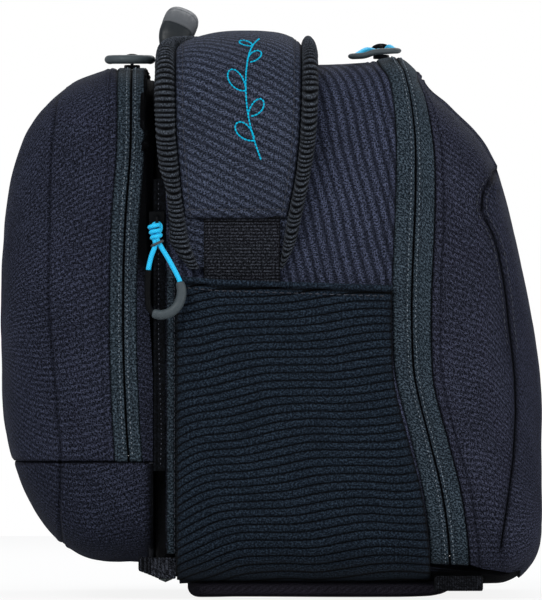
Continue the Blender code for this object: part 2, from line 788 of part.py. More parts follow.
def pad_stations(up_side, corner, along_top):
    """Stations of one layer of the pad, up the near side, round the corner and along the top."""
    turns = [math.radians(degrees) for degrees in CORNER_TURNS]
    side = [(turn_at_height(z), *sizes) for z, *sizes in up_side]
    top = [(turn_at_width(-y), *sizes) for y, *sizes in along_top]
    return both_ways([*side, *((turn, *corner) for turn in turns), *top])


def strap():
    """Shoulder strap: a mesh back layer with rolled edges, a cloth front layer, and webbing."""
    back = pad_stations(PAD_BACK_SIDE, PAD_BACK_CORNER, PAD_BACK_TOP)
    back = [(turn, low_x, high_x, PAD_BACK_LIFT, outer) for turn, low_x, high_x, outer in back]
    strap_layer("strap_pad_back", back, 4.0, 12, "mesh_cloth")
    front = pad_stations(PAD_FRONT_SIDE, PAD_FRONT_CORNER, PAD_FRONT_TOP)
    strap_layer("strap_pad_front", front, 3.0, 12, "cloth")
    low_x = STRAP_X - WEBBING_HALF_WIDTH
    high_x = STRAP_X + WEBBING_HALF_WIDTH
    for side, sign in SIDES:
        webbing = []
        for z, lift in WEBBING_STATIONS:
            near_turn = turn_at_height(z)
            turn = near_turn if sign < 0 else math.pi - near_turn
            webbing.append((turn, low_x, high_x, lift, lift + WEBBING_THICKNESS))
        strap_layer("strap_webbing_" + side, webbing, 0, 4, "webbing")


def webbing_tabs(side, sign):
    """Folded tab at the foot of the front zip, and the tab at the lower rear corner."""
    low_y, high_y = sorted((sign * (END_TAB_Y - END_TAB_WIDTH / 2), sign * (END_TAB_Y + END_TAB_WIDTH / 2)))
    low = (END_TAB_X - END_TAB_LENGTH / 2, low_y, END_TAB_Z - END_TAB_THICKNESS / 2)
    high = (END_TAB_X + END_TAB_LENGTH / 2, high_y, END_TAB_Z + END_TAB_THICKNESS / 2)
    tab = add_piece("zip_end_tab_" + side, box_mesh("zip_end_tab", low, high), "webbing")
    bevel_edges(tab, END_TAB_THICKNESS / 4, 2)
    radius = (CORNER_TAB_HIGH_Z - CORNER_TAB_LOW_Z) / 2
    centre = (CORNER_TAB_LEFT_X + radius, CORNER_TAB_LOW_Z + radius)
    right_x = POCKET_REAR_X - GAP
    turns = [math.radians(90 + 180 * k / 8) for k in range(9)]
    outline = [(centre[0] + radius * math.cos(t), centre[1] + radius * math.sin(t)) for t in turns]
    outline = [*outline, (right_x, CORNER_TAB_LOW_Z), (right_x, CORNER_TAB_HIGH_Z)]
    half = CORNER_TAB_THICKNESS / 2
    low_y, high_y = sorted((sign * (CORNER_TAB_Y - half), sign * (CORNER_TAB_Y + half)))
    add_piece("corner_tab_" + side, prism_mesh("corner_tab", outline, low_y, high_y), "webbing")


# Carrier frame and handle


def frame():
    radius = FRAME_CORNER_RADIUS
    centres = (
        (FRAME_HALF_WIDTH - radius, FRAME_LOW_Z + radius, -90),
        (FRAME_HALF_WIDTH - radius, FRAME_HIGH_Z - radius, 0),
        (radius - FRAME_HALF_WIDTH, FRAME_HIGH_Z - radius, 90),
        (radius - FRAME_HALF_WIDTH, FRAME_LOW_Z + radius, 180),
    )
    points = []
    for y, z, start in centres:
        for step in range(6):
            turn = math.radians(start + 18 * step)
            points.append((FRAME_X, y + radius * math.cos(turn), z + radius * math.sin(turn)))
    tube("frame_tube", points, FRAME_TUBE_RADIUS, "frame_metal", closed=True)
    reach_y = FRAME_HALF_WIDTH - FRAME_TUBE_RADIUS - GAP
    half = BLOCK_THICKNESS / 2
    block_low = (FRAME_X - half, -BLOCK_HALF_WIDTH, BLOCK_LOW_Z)
    block_high = (FRAME_X + half, BLOCK_HALF_WIDTH, BLOCK_HIGH_Z)
    block = add_piece("carrier_block", box_mesh("carrier_block", block_low, block_high), "dark_plastic")
    foot_z = BLOCK_LOW_Z - GAP
    socket = [
        (-SOCKET_TOP_HALF_WIDTH, SOCKET_HIGH_Z),
        (SOCKET_TOP_HALF_WIDTH, SOCKET_HIGH_Z),
        (SOCKET_FOOT_HALF_WIDTH, foot_z),
        (-SOCKET_FOOT_HALF_WIDTH, foot_z),
    ]
    face_x = FRAME_X - half
    mesh = prism_mesh("carrier_socket", socket, face_x - GAP, face_x + SOCKET_DEPTH, axis="X")
    boolean(block, add_cutter("carrier_socket", mesh), "DIFFERENCE")
    for name, z in zip(("frame_crossbar_lower", "frame_crossbar_upper"), CROSSBAR_Z):
        rod = rod_mesh(name, (FRAME_X, -reach_y, z), (FRAME_X, reach_y, z), CROSSBAR_RADIUS, 12)
        add_piece(name, rod, "frame_metal")
        hole = rod_mesh(name, (FRAME_X, -REACH, z), (FRAME_X, REACH, z), CROSSBAR_RADIUS + GAP, 12)
        boolean(block, add_cutter(name + "_hole", hole), "DIFFERENCE")


def handle_point(y, rise):
    """A point of the handle: rise is its distance from the pivot line along the leaning grip."""
    return Vector((FRAME_X + rise * math.sin(GRIP_LEAN), y, PIVOT_Z + rise * math.cos(GRIP_LEAN)))


def frame_lug(side, sign):
    """Lug on the frame's top bar, with its hole, and the pin that the handle turns on."""
    half = LUG_THICKNESS / 2
    turns = [math.pi * k / 8 for k in range(9)]
    outline = [(FRAME_X + half * math.cos(t), PIVOT_Z + half * math.sin(t)) for t in turns]
    outline = [*outline, (FRAME_X - half, FRAME_HIGH_Z), (FRAME_X + half, FRAME_HIGH_Z)]
    low_y, high_y = sorted((sign * (LUG_Y - LUG_WIDTH / 2), sign * (LUG_Y + LUG_WIDTH / 2)))
    lug = add_piece("frame_lug_" + side, prism_mesh("frame_lug", outline, low_y, high_y), "dark_plastic")
    bar_start = (FRAME_X, low_y - GAP, FRAME_HIGH_Z)
    bar_end = (FRAME_X, high_y + GAP, FRAME_HIGH_Z)
    seat = rod_mesh("lug_seat", bar_start, bar_end, FRAME_TUBE_RADIUS + GAP)
    boolean(lug, add_cutter("lug_seat_" + side, seat), "DIFFERENCE")
    boolean(lug, PIN_HOLE, "DIFFERENCE")
    inner_y = HANDLE_EYE_Y - HANDLE_EYE_WIDTH / 2 - GAP
    outer_y = LUG_Y + LUG_WIDTH / 2 + GAP
    profile = (
        (0.0, inner_y - PIN_HEAD_LENGTH),
        (PIN_HEAD_RADIUS, inner_y - PIN_HEAD_LENGTH),
        (PIN_HEAD_RADIUS, inner_y),
        (PIN_RADIUS, inner_y),
        (PIN_RADIUS, outer_y),
        (0.0, outer_y),
    )
    turned("handle_pin_" + side, profile, "steel", (FRAME_X, 0, PIVOT_Z), sign)


def turned(name, profile, finish, place, sign):
    """A profile of radius and distance turned about the Y axis through place, to one side or the other."""
    shape = bmesh.new()
    points = [shape.verts.new((radius, 0, distance)) for radius, distance in profile]
    for start, end in zip(points, points[1:]):
        shape.edges.new((start, end))
    mesh = bpy.data.meshes.new(name)
    shape.to_mesh(mesh)
    shape.free()
    obj = add_piece(name, mesh, finish)
    screw = obj.modifiers.new("turned", "SCREW")
    screw.steps = 16
    screw.render_steps = 16
    screw.use_merge_vertices = True
    screw.merge_threshold = 0.00001
    screw.use_normal_flip = True
    obj.rotation_euler = (math.radians(-90) * sign, 0, 0)
    obj.location = place
    return obj


def handle_grip():
    side = Vector((math.cos(GRIP_LEAN), 0, -math.sin(GRIP_LEAN)))
    path = []
    sizes = []
    for share, size in GRIP_STATIONS:
        path.append(handle_point(GRIP_HALF_LENGTH * share, GRIP_RISE - GRIP_ARCH * share ** 2))
        sizes.append((GRIP_HALF_WIDTH * size, GRIP_HALF_HEIGHT * size))
    add_piece("handle_grip", swept_mesh("handle_grip", path, side, sizes, GRIP_POWER, 16), "grey_rubber")


def handle_end(side, sign):
    """Dark end of the handle, from the grip down to the eye that turns on the pin."""
    across = Vector((math.cos(GRIP_LEAN), 0, -math.sin(GRIP_LEAN)))
    start_y = GRIP_HALF_LENGTH + GAP
    path = [handle_point(sign * (start_y + y), rise) for y, rise, _, _ in HANDLE_END_STATIONS]
    sizes = [(half_width, half_height) for _, _, half_width, half_height in HANDLE_END_STATIONS]
    name = "handle_end_" + side
    arm = add_piece(name, swept_mesh(name, path, across, sizes, GRIP_POWER, 12), "dark_plastic")
    half = HANDLE_EYE_WIDTH / 2
    eye = rod_mesh(
        name,
        (FRAME_X, sign * HANDLE_EYE_Y - half, PIVOT_Z),
        (FRAME_X, sign * HANDLE_EYE_Y + half, PIVOT_Z),
        HANDLE_EYE_RADIUS,
    )
    boolean(arm, add_cutter(name + "_eye", eye), "UNION")
    boolean(arm, PIN_HOLE, "DIFFERENCE")


# Sliders and pullers


HOLE_HEIGHT = SLIDER_HEIGHT + CORD_RADIUS + GAP + BRIDGE_WIRE / 2


def local_frame(place, across, along, outward):
    turn = Matrix((across, along, outward)).transposed().to_4x4()
    return Matrix.Translation(place) @ turn


def slider_mesh(name):
    """Slider body on its own, lying on the tape: X across the zip, Y along it, Z outward."""
    half_width = SLIDER_WIDTH / 2
    half_length = SLIDER_LENGTH / 2
    shoulder = half_length * SLIDER_SHOULDER
    waist = half_width * SLIDER_WAIST
    outline = [
        (-half_width, half_length),
        (-half_width, shoulder),
        (-waist, -half_length),
        (waist, -half_length),
        (half_width, shoulder),
        (half_width, half_length),
    ]
    return prism_mesh(name, outline, 0, SLIDER_HEIGHT, axis="Z")


def bridge_mesh(name):
    """Wire arch along the zip; the pull cord passes under it."""
    turns = [math.pi * k / 8 for k in range(9)]
    foot = SLIDER_HEIGHT - BRIDGE_WIRE
    rise = HOLE_HEIGHT + CORD_RADIUS + 2 * GAP + BRIDGE_WIRE - foot
    heights = [foot + rise * math.sqrt(abs(math.sin(turn))) for turn in turns]
    path = [Vector((0, BRIDGE_RADIUS * math.cos(t), z)) for t, z in zip(turns, heights)]
    sizes = [(BRIDGE_WIRE, BRIDGE_WIRE)] * len(path)
    return swept_mesh(name, path, Vector((1, 0, 0)), sizes, BRIDGE_POWER, 8)


def slider_and_puller(prefix, side, place, sleeve_points, mirrored=False):
    """A zip slider, its cord and its moulded sleeve; side ends their names."""
    slider = add_piece(prefix + "_slider" + side, slider_mesh(prefix), "dark_plastic")
    slider.matrix_world = place
    bevel_edges(slider, SLIDER_HEIGHT / 6, 1)
    bridge = add_cutter(prefix + "_bridge" + side, bridge_mesh(prefix))
    bridge.matrix_world = place
    boolean(slider, bridge, "UNION")
    flip = -1 if mirrored else 1
    sleeve_route = [(flip * u, w, n) for u, w, n in sleeve_points]
    hole = place @ Matrix.Translation((0, 0, HOLE_HEIGHT))
    sleeve = tube(prefix + "_puller_sleeve" + side, sleeve_route, SLEEVE_RADIUS, "dark_plastic")
    sleeve.matrix_world = hole
    first = Vector(sleeve_route[0])
    last = Vector(sleeve_route[-1])
    lift = Vector((0, GAP, 0))
    beside_bridge = flip * (CORD_RADIUS + BRIDGE_WIRE + GAP)
    knots = [
        first + lift,
        first * CORD_SPREAD,
        (beside_bridge, -CORD_DROP, first.z * CORD_LEVEL),
        (beside_bridge * CORD_PINCH, -CORD_DROP * CORD_ARC, 0),
        (-beside_bridge * CORD_PINCH, -CORD_DROP * CORD_ARC, 0),
        (-beside_bridge, -CORD_DROP, last.z * CORD_LEVEL),
        last * CORD_SPREAD,
        last + lift,
    ]
    cord = tube(prefix + "_puller_cord" + side, smooth_line(knots, 2), CORD_RADIUS, "cord")
    cord.matrix_world = hole


def sliders():
    along_top = ((1, 0, 0), (0, 1, 0), (0, 0, 1))
    main_outline = smooth_line(MAIN_OUTLINE, 2)
    rear_top_z = REAR_TOP_CENTRE_Z + REAR_TOP_RADIUS
    rear_outline = [Vector((REAR_ARC_X, rear_top_z)), Vector((REAR_FRONT_X, rear_top_z))]
    for prefix, line, outline in (("front", FRONT_LINE, main_outline), ("rear", REAR_LINE, rear_outline)):
        x = next(point.x for point in finely(line) if point.y < height_at(outline, point.x))
        seat_z = height_at(outline, x + SLIDER_WIDTH / 2) - TAPE_SINK + GAP
        slider_and_puller(prefix, "", local_frame((x, TOP_SLIDER_Y, seat_z), *along_top), LYING_SLEEVE)
    for side, sign in SIDES:
        directions = ((-sign, 0, 0), (0, 0, 1), (0, sign, 0))
        spot = (GAP_ZIP_X, sign * (BAG_HALF_WIDTH + GAP), GAP_SLIDER_Z)
        place = local_frame(spot, *directions)
        slider_and_puller("gap", "_" + side, place, HANGING_SLEEVE, mirrored=sign > 0)


SIDES = (("near", -1), ("far", 1))
LUG_Y = HANDLE_EYE_Y + HANDLE_EYE_WIDTH / 2 + GAP + LUG_WIDTH / 2
LUG_SLOT_X = FRAME_X + LUG_THICKNESS / 2 + GAP
FRAME_NOTCH_X = FRAME_X + FRAME_TUBE_RADIUS + 2 * GAP + BACK_PANEL_THICKNESS / 2

MAIN_INNER = add_cutter("main_inner", main_form("main_inner", -WALL))
MAIN_TAPE_INNER = add_cutter("main_tape_inner", main_form("main_tape_inner", -TAPE_SINK - TAPE_THICKNESS))
REAR_INNER = add_cutter("rear_inner", rear_form("rear_inner", -WALL))
REAR_TAPE_INNER = add_cutter("rear_tape_inner", rear_form("rear_tape_inner", -TAPE_SINK - TAPE_THICKNESS))
BAG_SKIN = add_cutter("bag_skin", main_form("bag_skin", GAP))
POCKET_INNER = add_cutter("pocket_inner", main_form("pocket_inner", POCKET_DEPTH))
POCKET_SKIN = add_cutter("pocket_skin", main_form("pocket_skin", POCKET_DEPTH + POCKET_CLOTH + GAP))
PIN_ENDS = ((FRAME_X, -REACH, PIVOT_Z), (FRAME_X, REACH, PIVOT_Z))
PIN_HOLE = add_cutter("pin_hole", rod_mesh("pin_hole", *PIN_ENDS, PIN_RADIUS + GAP))

main_bag()
panels()
front_cover()
rear_compartment()
frame()
handle_grip()
strap()
sliders()
for side, sign in SIDES:
    gap_zip(side, sign)
    side_pocket(side, sign)
    webbing_tabs(side, sign)
    frame_lug(side, sign)
    handle_end(side, sign)
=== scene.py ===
"""Dressed model of the bike front bag: cloth, zips, strap, pocket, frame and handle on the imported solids."""

import math

import bmesh
import bpy
import numpy as np
from mathutils import Matrix, Vector, noise


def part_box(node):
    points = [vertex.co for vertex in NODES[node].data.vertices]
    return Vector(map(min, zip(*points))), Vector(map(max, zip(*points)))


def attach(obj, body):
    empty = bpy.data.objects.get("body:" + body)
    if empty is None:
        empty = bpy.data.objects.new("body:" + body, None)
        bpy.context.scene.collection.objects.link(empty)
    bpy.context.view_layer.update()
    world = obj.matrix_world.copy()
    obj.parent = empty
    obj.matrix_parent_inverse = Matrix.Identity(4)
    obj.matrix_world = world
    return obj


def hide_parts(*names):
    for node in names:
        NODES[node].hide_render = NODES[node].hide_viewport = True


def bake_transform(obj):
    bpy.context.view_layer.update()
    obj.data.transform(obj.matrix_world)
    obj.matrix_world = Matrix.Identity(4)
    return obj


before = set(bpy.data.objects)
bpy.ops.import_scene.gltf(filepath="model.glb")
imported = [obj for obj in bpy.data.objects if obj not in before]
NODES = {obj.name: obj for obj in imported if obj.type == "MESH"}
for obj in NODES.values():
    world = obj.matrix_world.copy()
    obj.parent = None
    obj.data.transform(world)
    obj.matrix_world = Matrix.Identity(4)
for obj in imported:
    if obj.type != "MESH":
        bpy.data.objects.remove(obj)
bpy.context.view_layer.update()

MM = 0.001
SIDES = (("near", -1), ("far", 1))

# Camera and photograph: 600 pixels tall stand for 0.3 m
VIEW_HEIGHT = 0.3
VIEW_CENTRE_Z = 0.1495
CAMERA_DISTANCE = 10.0
SENSOR = 36.0

# Main bag: its top as (x, z), and how its front is rounded in
HALF_WIDTH = 0.185
HALF_HEIGHT = 0.131
MAIN_REAR_X = -0.0525
MAIN_LOW_Z = 0.0065
MAIN_TOP = (
    (-0.0525, 0.268), (0.0, 0.268), (0.035, 0.2685), (0.052, 0.2700), (0.064, 0.2713),
    (0.0725, 0.2650), (0.080, 0.2550), (0.0885, 0.2472), (0.107, 0.2262), (0.1165, 0.2000),
    (0.1243, 0.1685), (0.1282, 0.1490), (0.1315, 0.1290), (0.1342, 0.1060), (0.1346, 0.0980),
)
FRONT_END_X = 0.1346
TOE_START_X = 0.112
TOE_RISE = 0.026
FRONT_ROUND_START_X = 0.095
FRONT_ROUND_INSET = 0.024
SECTION_POWER = 9.0

# Front zip line down the side (x, z)
FRONT_LINE = (
    (0.0600, 0.2800), (0.0625, 0.2730), (0.0645, 0.2680), (0.0680, 0.2610), (0.0703, 0.2500),
    (0.0722, 0.2300), (0.0722, 0.2000), (0.0705, 0.1550), (0.0706, 0.1300), (0.0720, 0.1100),
    (0.0795, 0.0785), (0.0850, 0.0560), (0.0885, 0.0325), (0.0900, 0.0100),
)
FRONT_HALF = 0.0098
FRONT_RIM_Z = 0.0157
FRONT_HINGE_X = 0.1237

# Rear compartment
REAR_FRONT_X = -0.059
REAR_ARC_X = -0.0805
REAR_DEPTH = 0.0543
REAR_TOP_CENTRE = 0.165
REAR_TOP_RADIUS = 0.101
REAR_LOW_CENTRE = 0.1045
REAR_LOW_RADIUS = 0.0865
REAR_INSET = 0.040
REAR_TOP_SHAPE = (
    (0, 1.0), (18.2, 0.9406), (32.9, 0.8515), (51.5, 0.6930), (67.0, 0.4800), (77.4, 0.2723), (90, 0.0),
)  # height of the top, as a share of its radius, by degrees of the arc
REAR_SEAM_Z = 0.0685
REAR_LINE = (
    (-0.0700, 0.2900), (-0.0700, 0.2620), (-0.0703, 0.2250), (-0.0728, 0.1900), (-0.0738, 0.1600),
    (-0.0738, 0.1250), (-0.0725, 0.0900), (-0.0705, 0.0600),
)
REAR_HALF = 0.0070

SKIN = 0.0022  # thickness of the cloth skins
TINY = 1e-12


def clamp(values):
    """Values held between 0 and 1."""
    return np.clip(values, 0, 1)


def bell(distance, width):
    """1 at no distance, falling off softly on both sides over a width."""
    return np.exp(-(distance / width) ** 2)


def squared(values, power):
    """A power of each value that keeps its sign: it turns a circle into a squarer or rounder shape."""
    return np.sign(values) * np.abs(values) ** power


def directions(vectors):
    """Vectors made 1 long."""
    return vectors / np.linalg.norm(vectors, axis=-1, keepdims=True)


def xyz(x, y, z):
    """Points from their coordinates, each an array or one value for all."""
    return np.stack(np.broadcast_arrays(x, y, z), -1)


def around(count):
    """Angles once round a circle."""
    return np.linspace(0, 2 * np.pi, count, endpoint=False)


def distances(path):
    """Distance travelled from the start of a path to each of its points."""
    return np.concatenate([[0], np.cumsum(np.linalg.norm(np.diff(path, axis=0), axis=1))])


def between(values, tangent, step, i, t):
    """Cubic curve between values i and i + 1, at a share t of the step between them."""
    return (
        values[i] * (1 + 2 * t) * (1 - t) ** 2
        + tangent[i] * step * t * (1 - t) ** 2
        + values[i + 1] * t ** 2 * (3 - 2 * t)
        + tangent[i + 1] * step * t ** 2 * (t - 1)
    )


def smooth(values, spots, at):
    """Smooth interpolation (monotone cubic) of values given at spots."""
    spots = np.asarray(spots, float)
    values = np.asarray(values, float)
    step = np.diff(spots)
    slope = np.diff(values) / step
    tangent = np.zeros_like(values)
    before, after = slope[:-1], slope[1:]
    tangent[1:-1] = np.where(before * after > 0, 2 * before * after / (before + after + TINY), 0)
    tangent[0] = slope[0]
    tangent[-1] = slope[-1]
    at = np.clip(np.asarray(at, float), spots[0], spots[-1])
    i = np.clip(np.searchsorted(spots, at, side="right") - 1, 0, len(spots) - 2)
    t = (at - spots[i]) / step[i]
    return between(values, tangent, step[i], i, t)


def along_curve(points, share):
    """Points at shares of the length of a smooth curve through points (any dimension)."""
    points = np.asarray(points, float)
    length = distances(points)
    tangent = np.zeros_like(points)
    tangent[1:-1] = (points[2:] - points[:-2]) / (length[2:] - length[:-2])[:, None]
    tangent[0] = (points[1] - points[0]) / (length[1] - length[0])
    tangent[-1] = (points[-1] - points[-2]) / (length[-1] - length[-2])
    at = clamp(np.asarray(share, float)) * length[-1]
    i = np.clip(np.searchsorted(length, at, side="right") - 1, 0, len(points) - 2)
    step = (length[i + 1] - length[i])[:, None]
    t = ((at - length[i])[:, None]) / step
    return between(points, tangent, step, i, t)


# Rounded section, by share of its length: 0 under the middle, about 0.25 on the near side, 0.5 on top


def section_table(power):
    """Shares round a squared oval, and how far across and up each of them is, from -1 to 1."""
    turns = np.linspace(0, 2 * np.pi, 20001)
    across = squared(-np.sin(turns), 2 / power)
    upward = squared(-np.cos(turns), 2 / power)
    steps = np.hypot(np.diff(across) * HALF_WIDTH, np.diff(upward) * HALF_HEIGHT)
    length = np.concatenate([[0], np.cumsum(steps)])
    return length / length[-1], across, upward


TABLE = section_table(SECTION_POWER)


def section(share):
    """How far across and up a share of the section is, from -1 to 1."""
    share = np.mod(share, 1.0)
    return np.interp(share, TABLE[0], TABLE[1]), np.interp(share, TABLE[0], TABLE[2])


def bulge_off(x, start, end):
    """From 0 at the start to 1 at the end, along a quarter of a circle."""
    share = clamp((x - start) / (end - start))
    return 1 - np.sqrt(1 - share ** 2)


TOP_CURVE = along_curve(MAIN_TOP, np.linspace(0, 1, 1200))


def main_top(x):
    """Height of the main bag's top at x."""
    return np.interp(x, TOP_CURVE[:, 0], TOP_CURVE[:, 1])


def main_point(x, share):
    """Points of the main bag's outer form at x and at a share of its section."""
    x = np.asarray(x, float)
    a, b = section(share)
    high = main_top(x)
    low = MAIN_LOW_Z + TOE_RISE * bulge_off(x, TOE_START_X, FRONT_END_X)
    half = HALF_WIDTH - FRONT_ROUND_INSET * bulge_off(x, FRONT_ROUND_START_X, FRONT_END_X)
    return xyz(x, a * half, (high + low) / 2 + b * (high - low) / 2)


def rear_point(x, share):
    """Points of the rear compartment's outer form."""
    x = np.asarray(x, float)
    a, b = section(share)
    depth = clamp((REAR_ARC_X - x) / REAR_DEPTH)
    turn = np.degrees(np.arcsin(depth))
    spots, values = zip(*REAR_TOP_SHAPE)
    upper = smooth(values, spots, turn)
    lower = np.cos(np.radians(turn))
    high = REAR_TOP_CENTRE + REAR_TOP_RADIUS * upper
    low = REAR_LOW_CENTRE - REAR_LOW_RADIUS * lower
    half = HALF_WIDTH - REAR_INSET * (1 - upper)
    return xyz(x, a * half, (high + low) / 2 + b * (high - low) / 2)


def line_x(line, z):
    """Where a zip line is at height z."""
    curve = along_curve(line, np.linspace(0, 1, 800))[::-1]
    return np.interp(z, curve[:, 1], curve[:, 0])


def zip_x(form, line, shares):
    """x of the zip line at each share of the section: steps along the form until it meets the line."""
    x = np.full(len(shares), line_x(line, 0.15))
    for _ in range(60):
        z = form(x, shares)[:, 2]
        x = x + 0.5 * (line_x(line, z) - x)
    return x


def zip_edge(form, line, shares, distance):
    """x at a distance across from the zip line, kept at that distance where the line runs at a slant."""
    x = zip_x(form, line, shares)
    centre = form(x, shares)
    along = np.gradient(centre, axis=0)
    flat = np.hypot(along[:, 1], along[:, 2])
    slant = np.clip(np.linalg.norm(along, axis=1) / np.maximum(flat, 1e-9), 1.0, 1.6)
    return x + distance * slant


def share_at_height(form, x, z):
    """Share on the near side, between its foot and its top, at which the form at x has height z."""
    spots = np.linspace(0.01, 0.49, 2000)
    heights = form(x, spots)[:, 2]
    return float(np.interp(z, heights, spots))


def wave_noise(points, scale, seed):
    """Smooth noise between about -1 and 1 at each point; scale is the size of its waves."""
    offset = Vector((seed * 17.3, seed * 7.7, seed * 3.1))
    return np.array([noise.noise(Vector(p) / scale + offset) for p in points])


def normals_of(grid):
    across = np.gradient(grid, axis=0)
    along = np.gradient(grid, axis=1)
    found = np.cross(across, along)
    return found / np.maximum(np.linalg.norm(found, axis=-1, keepdims=True), TINY)


def lengths(grid, axis):
    """Distance travelled along an axis of the grid."""
    step = np.linalg.norm(np.diff(grid, axis=axis), axis=-1)
    pad = [(0, 0), (0, 0)]
    pad[axis] = (1, 0)
    return np.cumsum(np.pad(step, pad), axis=axis)


def mesh_object(name, points, faces, material, body):
    """A smooth mesh with one material, riding on a body unless that is None."""
    mesh = bpy.data.meshes.new(name)
    mesh.from_pydata([tuple(point) for point in points], [], [tuple(face) for face in faces])
    mesh.update()
    mesh.materials.append(material)
    mesh.shade_smooth()
    obj = bpy.data.objects.new(name, mesh)
    bpy.context.scene.collection.objects.link(obj)
    if body:
        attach(obj, body)
    return obj


def thicken(obj, thickness, offset=-1):
    """Thickness inward, or to both sides at offset 0."""
    solid = obj.modifiers.new("thickness", "SOLIDIFY")
    solid.thickness = thickness
    solid.offset = offset


def set_uvs(mesh, u, v):
    """UVs from a pair of values at each point."""
    corner = np.zeros(len(mesh.loops), int)
    mesh.loops.foreach_get("vertex_index", corner)
    layer = mesh.uv_layers.new(name="UVMap")
    layer.data.foreach_set("uv", np.stack([u[corner], v[corner]], -1).reshape(-1))


def grid_object(name, grid, material, body, thickness=SKIN, closed=False, flip=False, uv_from=None):
    """A mesh over a grid of points, with its thickness inward, riding on a body; its UVs are in metres."""
    rows, columns = grid.shape[:2]
    faces = []
    for i in range(rows if closed else rows - 1):
        here, after = i * columns, (i + 1) % rows * columns
        for k in range(columns - 1):
            face = (here + k, here + k + 1, after + k + 1, after + k)
            faces.append(face[::-1] if flip else face)
    obj = mesh_object(name, grid.reshape(-1, 3).tolist(), faces, material, None)
    flat = grid if uv_from is None else uv_from
    u = lengths(flat, 1) + flat[:, :1, 0]
    v = lengths(flat, 0).mean(1, keepdims=True) + np.zeros_like(u)
    set_uvs(obj.data, u.reshape(-1), v.reshape(-1))
    if thickness:
        thicken(obj, thickness)
    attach(obj, body)
    return obj


def paint_shade(obj, shade):
    """Gives each point of a mesh how much painted shade it has, from 0 to 1."""
    values = clamp(np.asarray(shade, float).reshape(-1))
    values = np.pad(values, (0, len(obj.data.vertices) - len(values)))
    obj.data.attributes.new("shade", "FLOAT", "POINT").data.foreach_set("value", values)
    return obj


# Materials

# Colour that the painted shade darkens surfaces towards
SHADOW_COLOUR = (0.0005, 0.0006, 0.0009)
THREAD_PITCH = 0.0007
SLUB_SCALE = 1400.0


class Shader:
    """A material with a Principled shader, and short calls to wire nodes into it."""

    def __init__(self, name, colour, roughness, **values):
        self.material = bpy.data.materials.new(name)
        self.material.use_nodes = True
        self.tree = self.material.node_tree
        self.main = self.tree.nodes["Principled BSDF"]
        self.main.inputs["Base Color"].default_value = (*colour, 1)
        self.main.inputs["Roughness"].default_value = roughness
        for key, value in values.items():
            self.main.inputs[key.replace("_", " ")].default_value = value

    def add(self, kind, settings=None, **inputs):
        node = self.tree.nodes.new("ShaderNode" + kind)
        for key, value in (settings or {}).items():
            setattr(node, key, value)
        for key, value in inputs.items():
            numbered = key[0] == "i" and key[1:].isdigit()
            socket = node.inputs[int(key[1:]) if numbered else key.replace("_", " ")]
            if isinstance(value, bpy.types.NodeSocket):
                self.tree.links.new(value, socket)
            else:
                socket.default_value = value
        return node

    def math(self, operation, *values):
        inputs = {f"i{n}": value for n, value in enumerate(values)}
        return self.add("Math", {"operation": operation}, **inputs).outputs[0]

    def place(self, scale=(1, 1, 1), coordinate="UV", rotation=(0, 0, 0)):
        source = self.add("TexCoord").outputs[coordinate]
        return self.add("Mapping", Vector=source, Scale=scale, Rotation=rotation).outputs[0]

    def noise(self, vector, scale, detail=3.0, roughness=0.55):
        made = self.add("TexNoise", Vector=vector, Scale=scale, Detail=detail, Roughness=roughness)
        return made.outputs["Fac"]

    def wave(self, vector, scale, direction="X", distortion=0.0, detail_scale=1.0):
        settings = {"wave_type": "BANDS", "bands_direction": direction}
        inputs = {"Vector": vector, "Scale": scale, "Distortion": distortion, "Detail_Scale": detail_scale}
        return self.add("TexWave", settings, Detail=1.0, **inputs).outputs["Fac"]

    def ramp(self, value, low, high, start=0.0, end=1.0):
        """Value from low..high mapped to start..end and held there."""
        inputs = {"Value": value, "From_Min": low, "From_Max": high, "To_Min": start, "To_Max": end}
        return self.add("MapRange", None, **inputs).outputs[0]

    def mix(self, share, first, second):
        node = self.add("Mix", {"data_type": "RGBA"})
        for socket, value in ((node.inputs[0], share), (node.inputs[6], first), (node.inputs[7], second)):
            if isinstance(value, bpy.types.NodeSocket):
                self.tree.links.new(value, socket)
            elif isinstance(value, (int, float)):
                socket.default_value = value
            else:
                socket.default_value = (*value, 1)
        return node.outputs[2]

    def colour(self, value):
        # Painted shade: the mesh's 'shade' attribute mixes the colour towards SHADOW_COLOUR
        shade = self.add("Attribute", {"attribute_name": "shade"}).outputs["Fac"]
        shaded = self.mix(shade, value, SHADOW_COLOUR)
        self.tree.links.new(shaded, self.main.inputs["Base Color"])

    def roughness(self, value):
        self.tree.links.new(value, self.main.inputs["Roughness"])

    def bump(self, height, distance, strength=1.0):
        made = self.add("Bump", None, Strength=strength, Distance=distance, Height=height)
        self.tree.links.new(made.outputs[0], self.main.inputs["Normal"])


WAVE_UNIT = 2 * math.pi / 20  # a wave texture of scale 1 repeats every 0.314


def pitch(length):
    """Scale of a wave texture whose bands repeat at this length."""
    return WAVE_UNIT / length


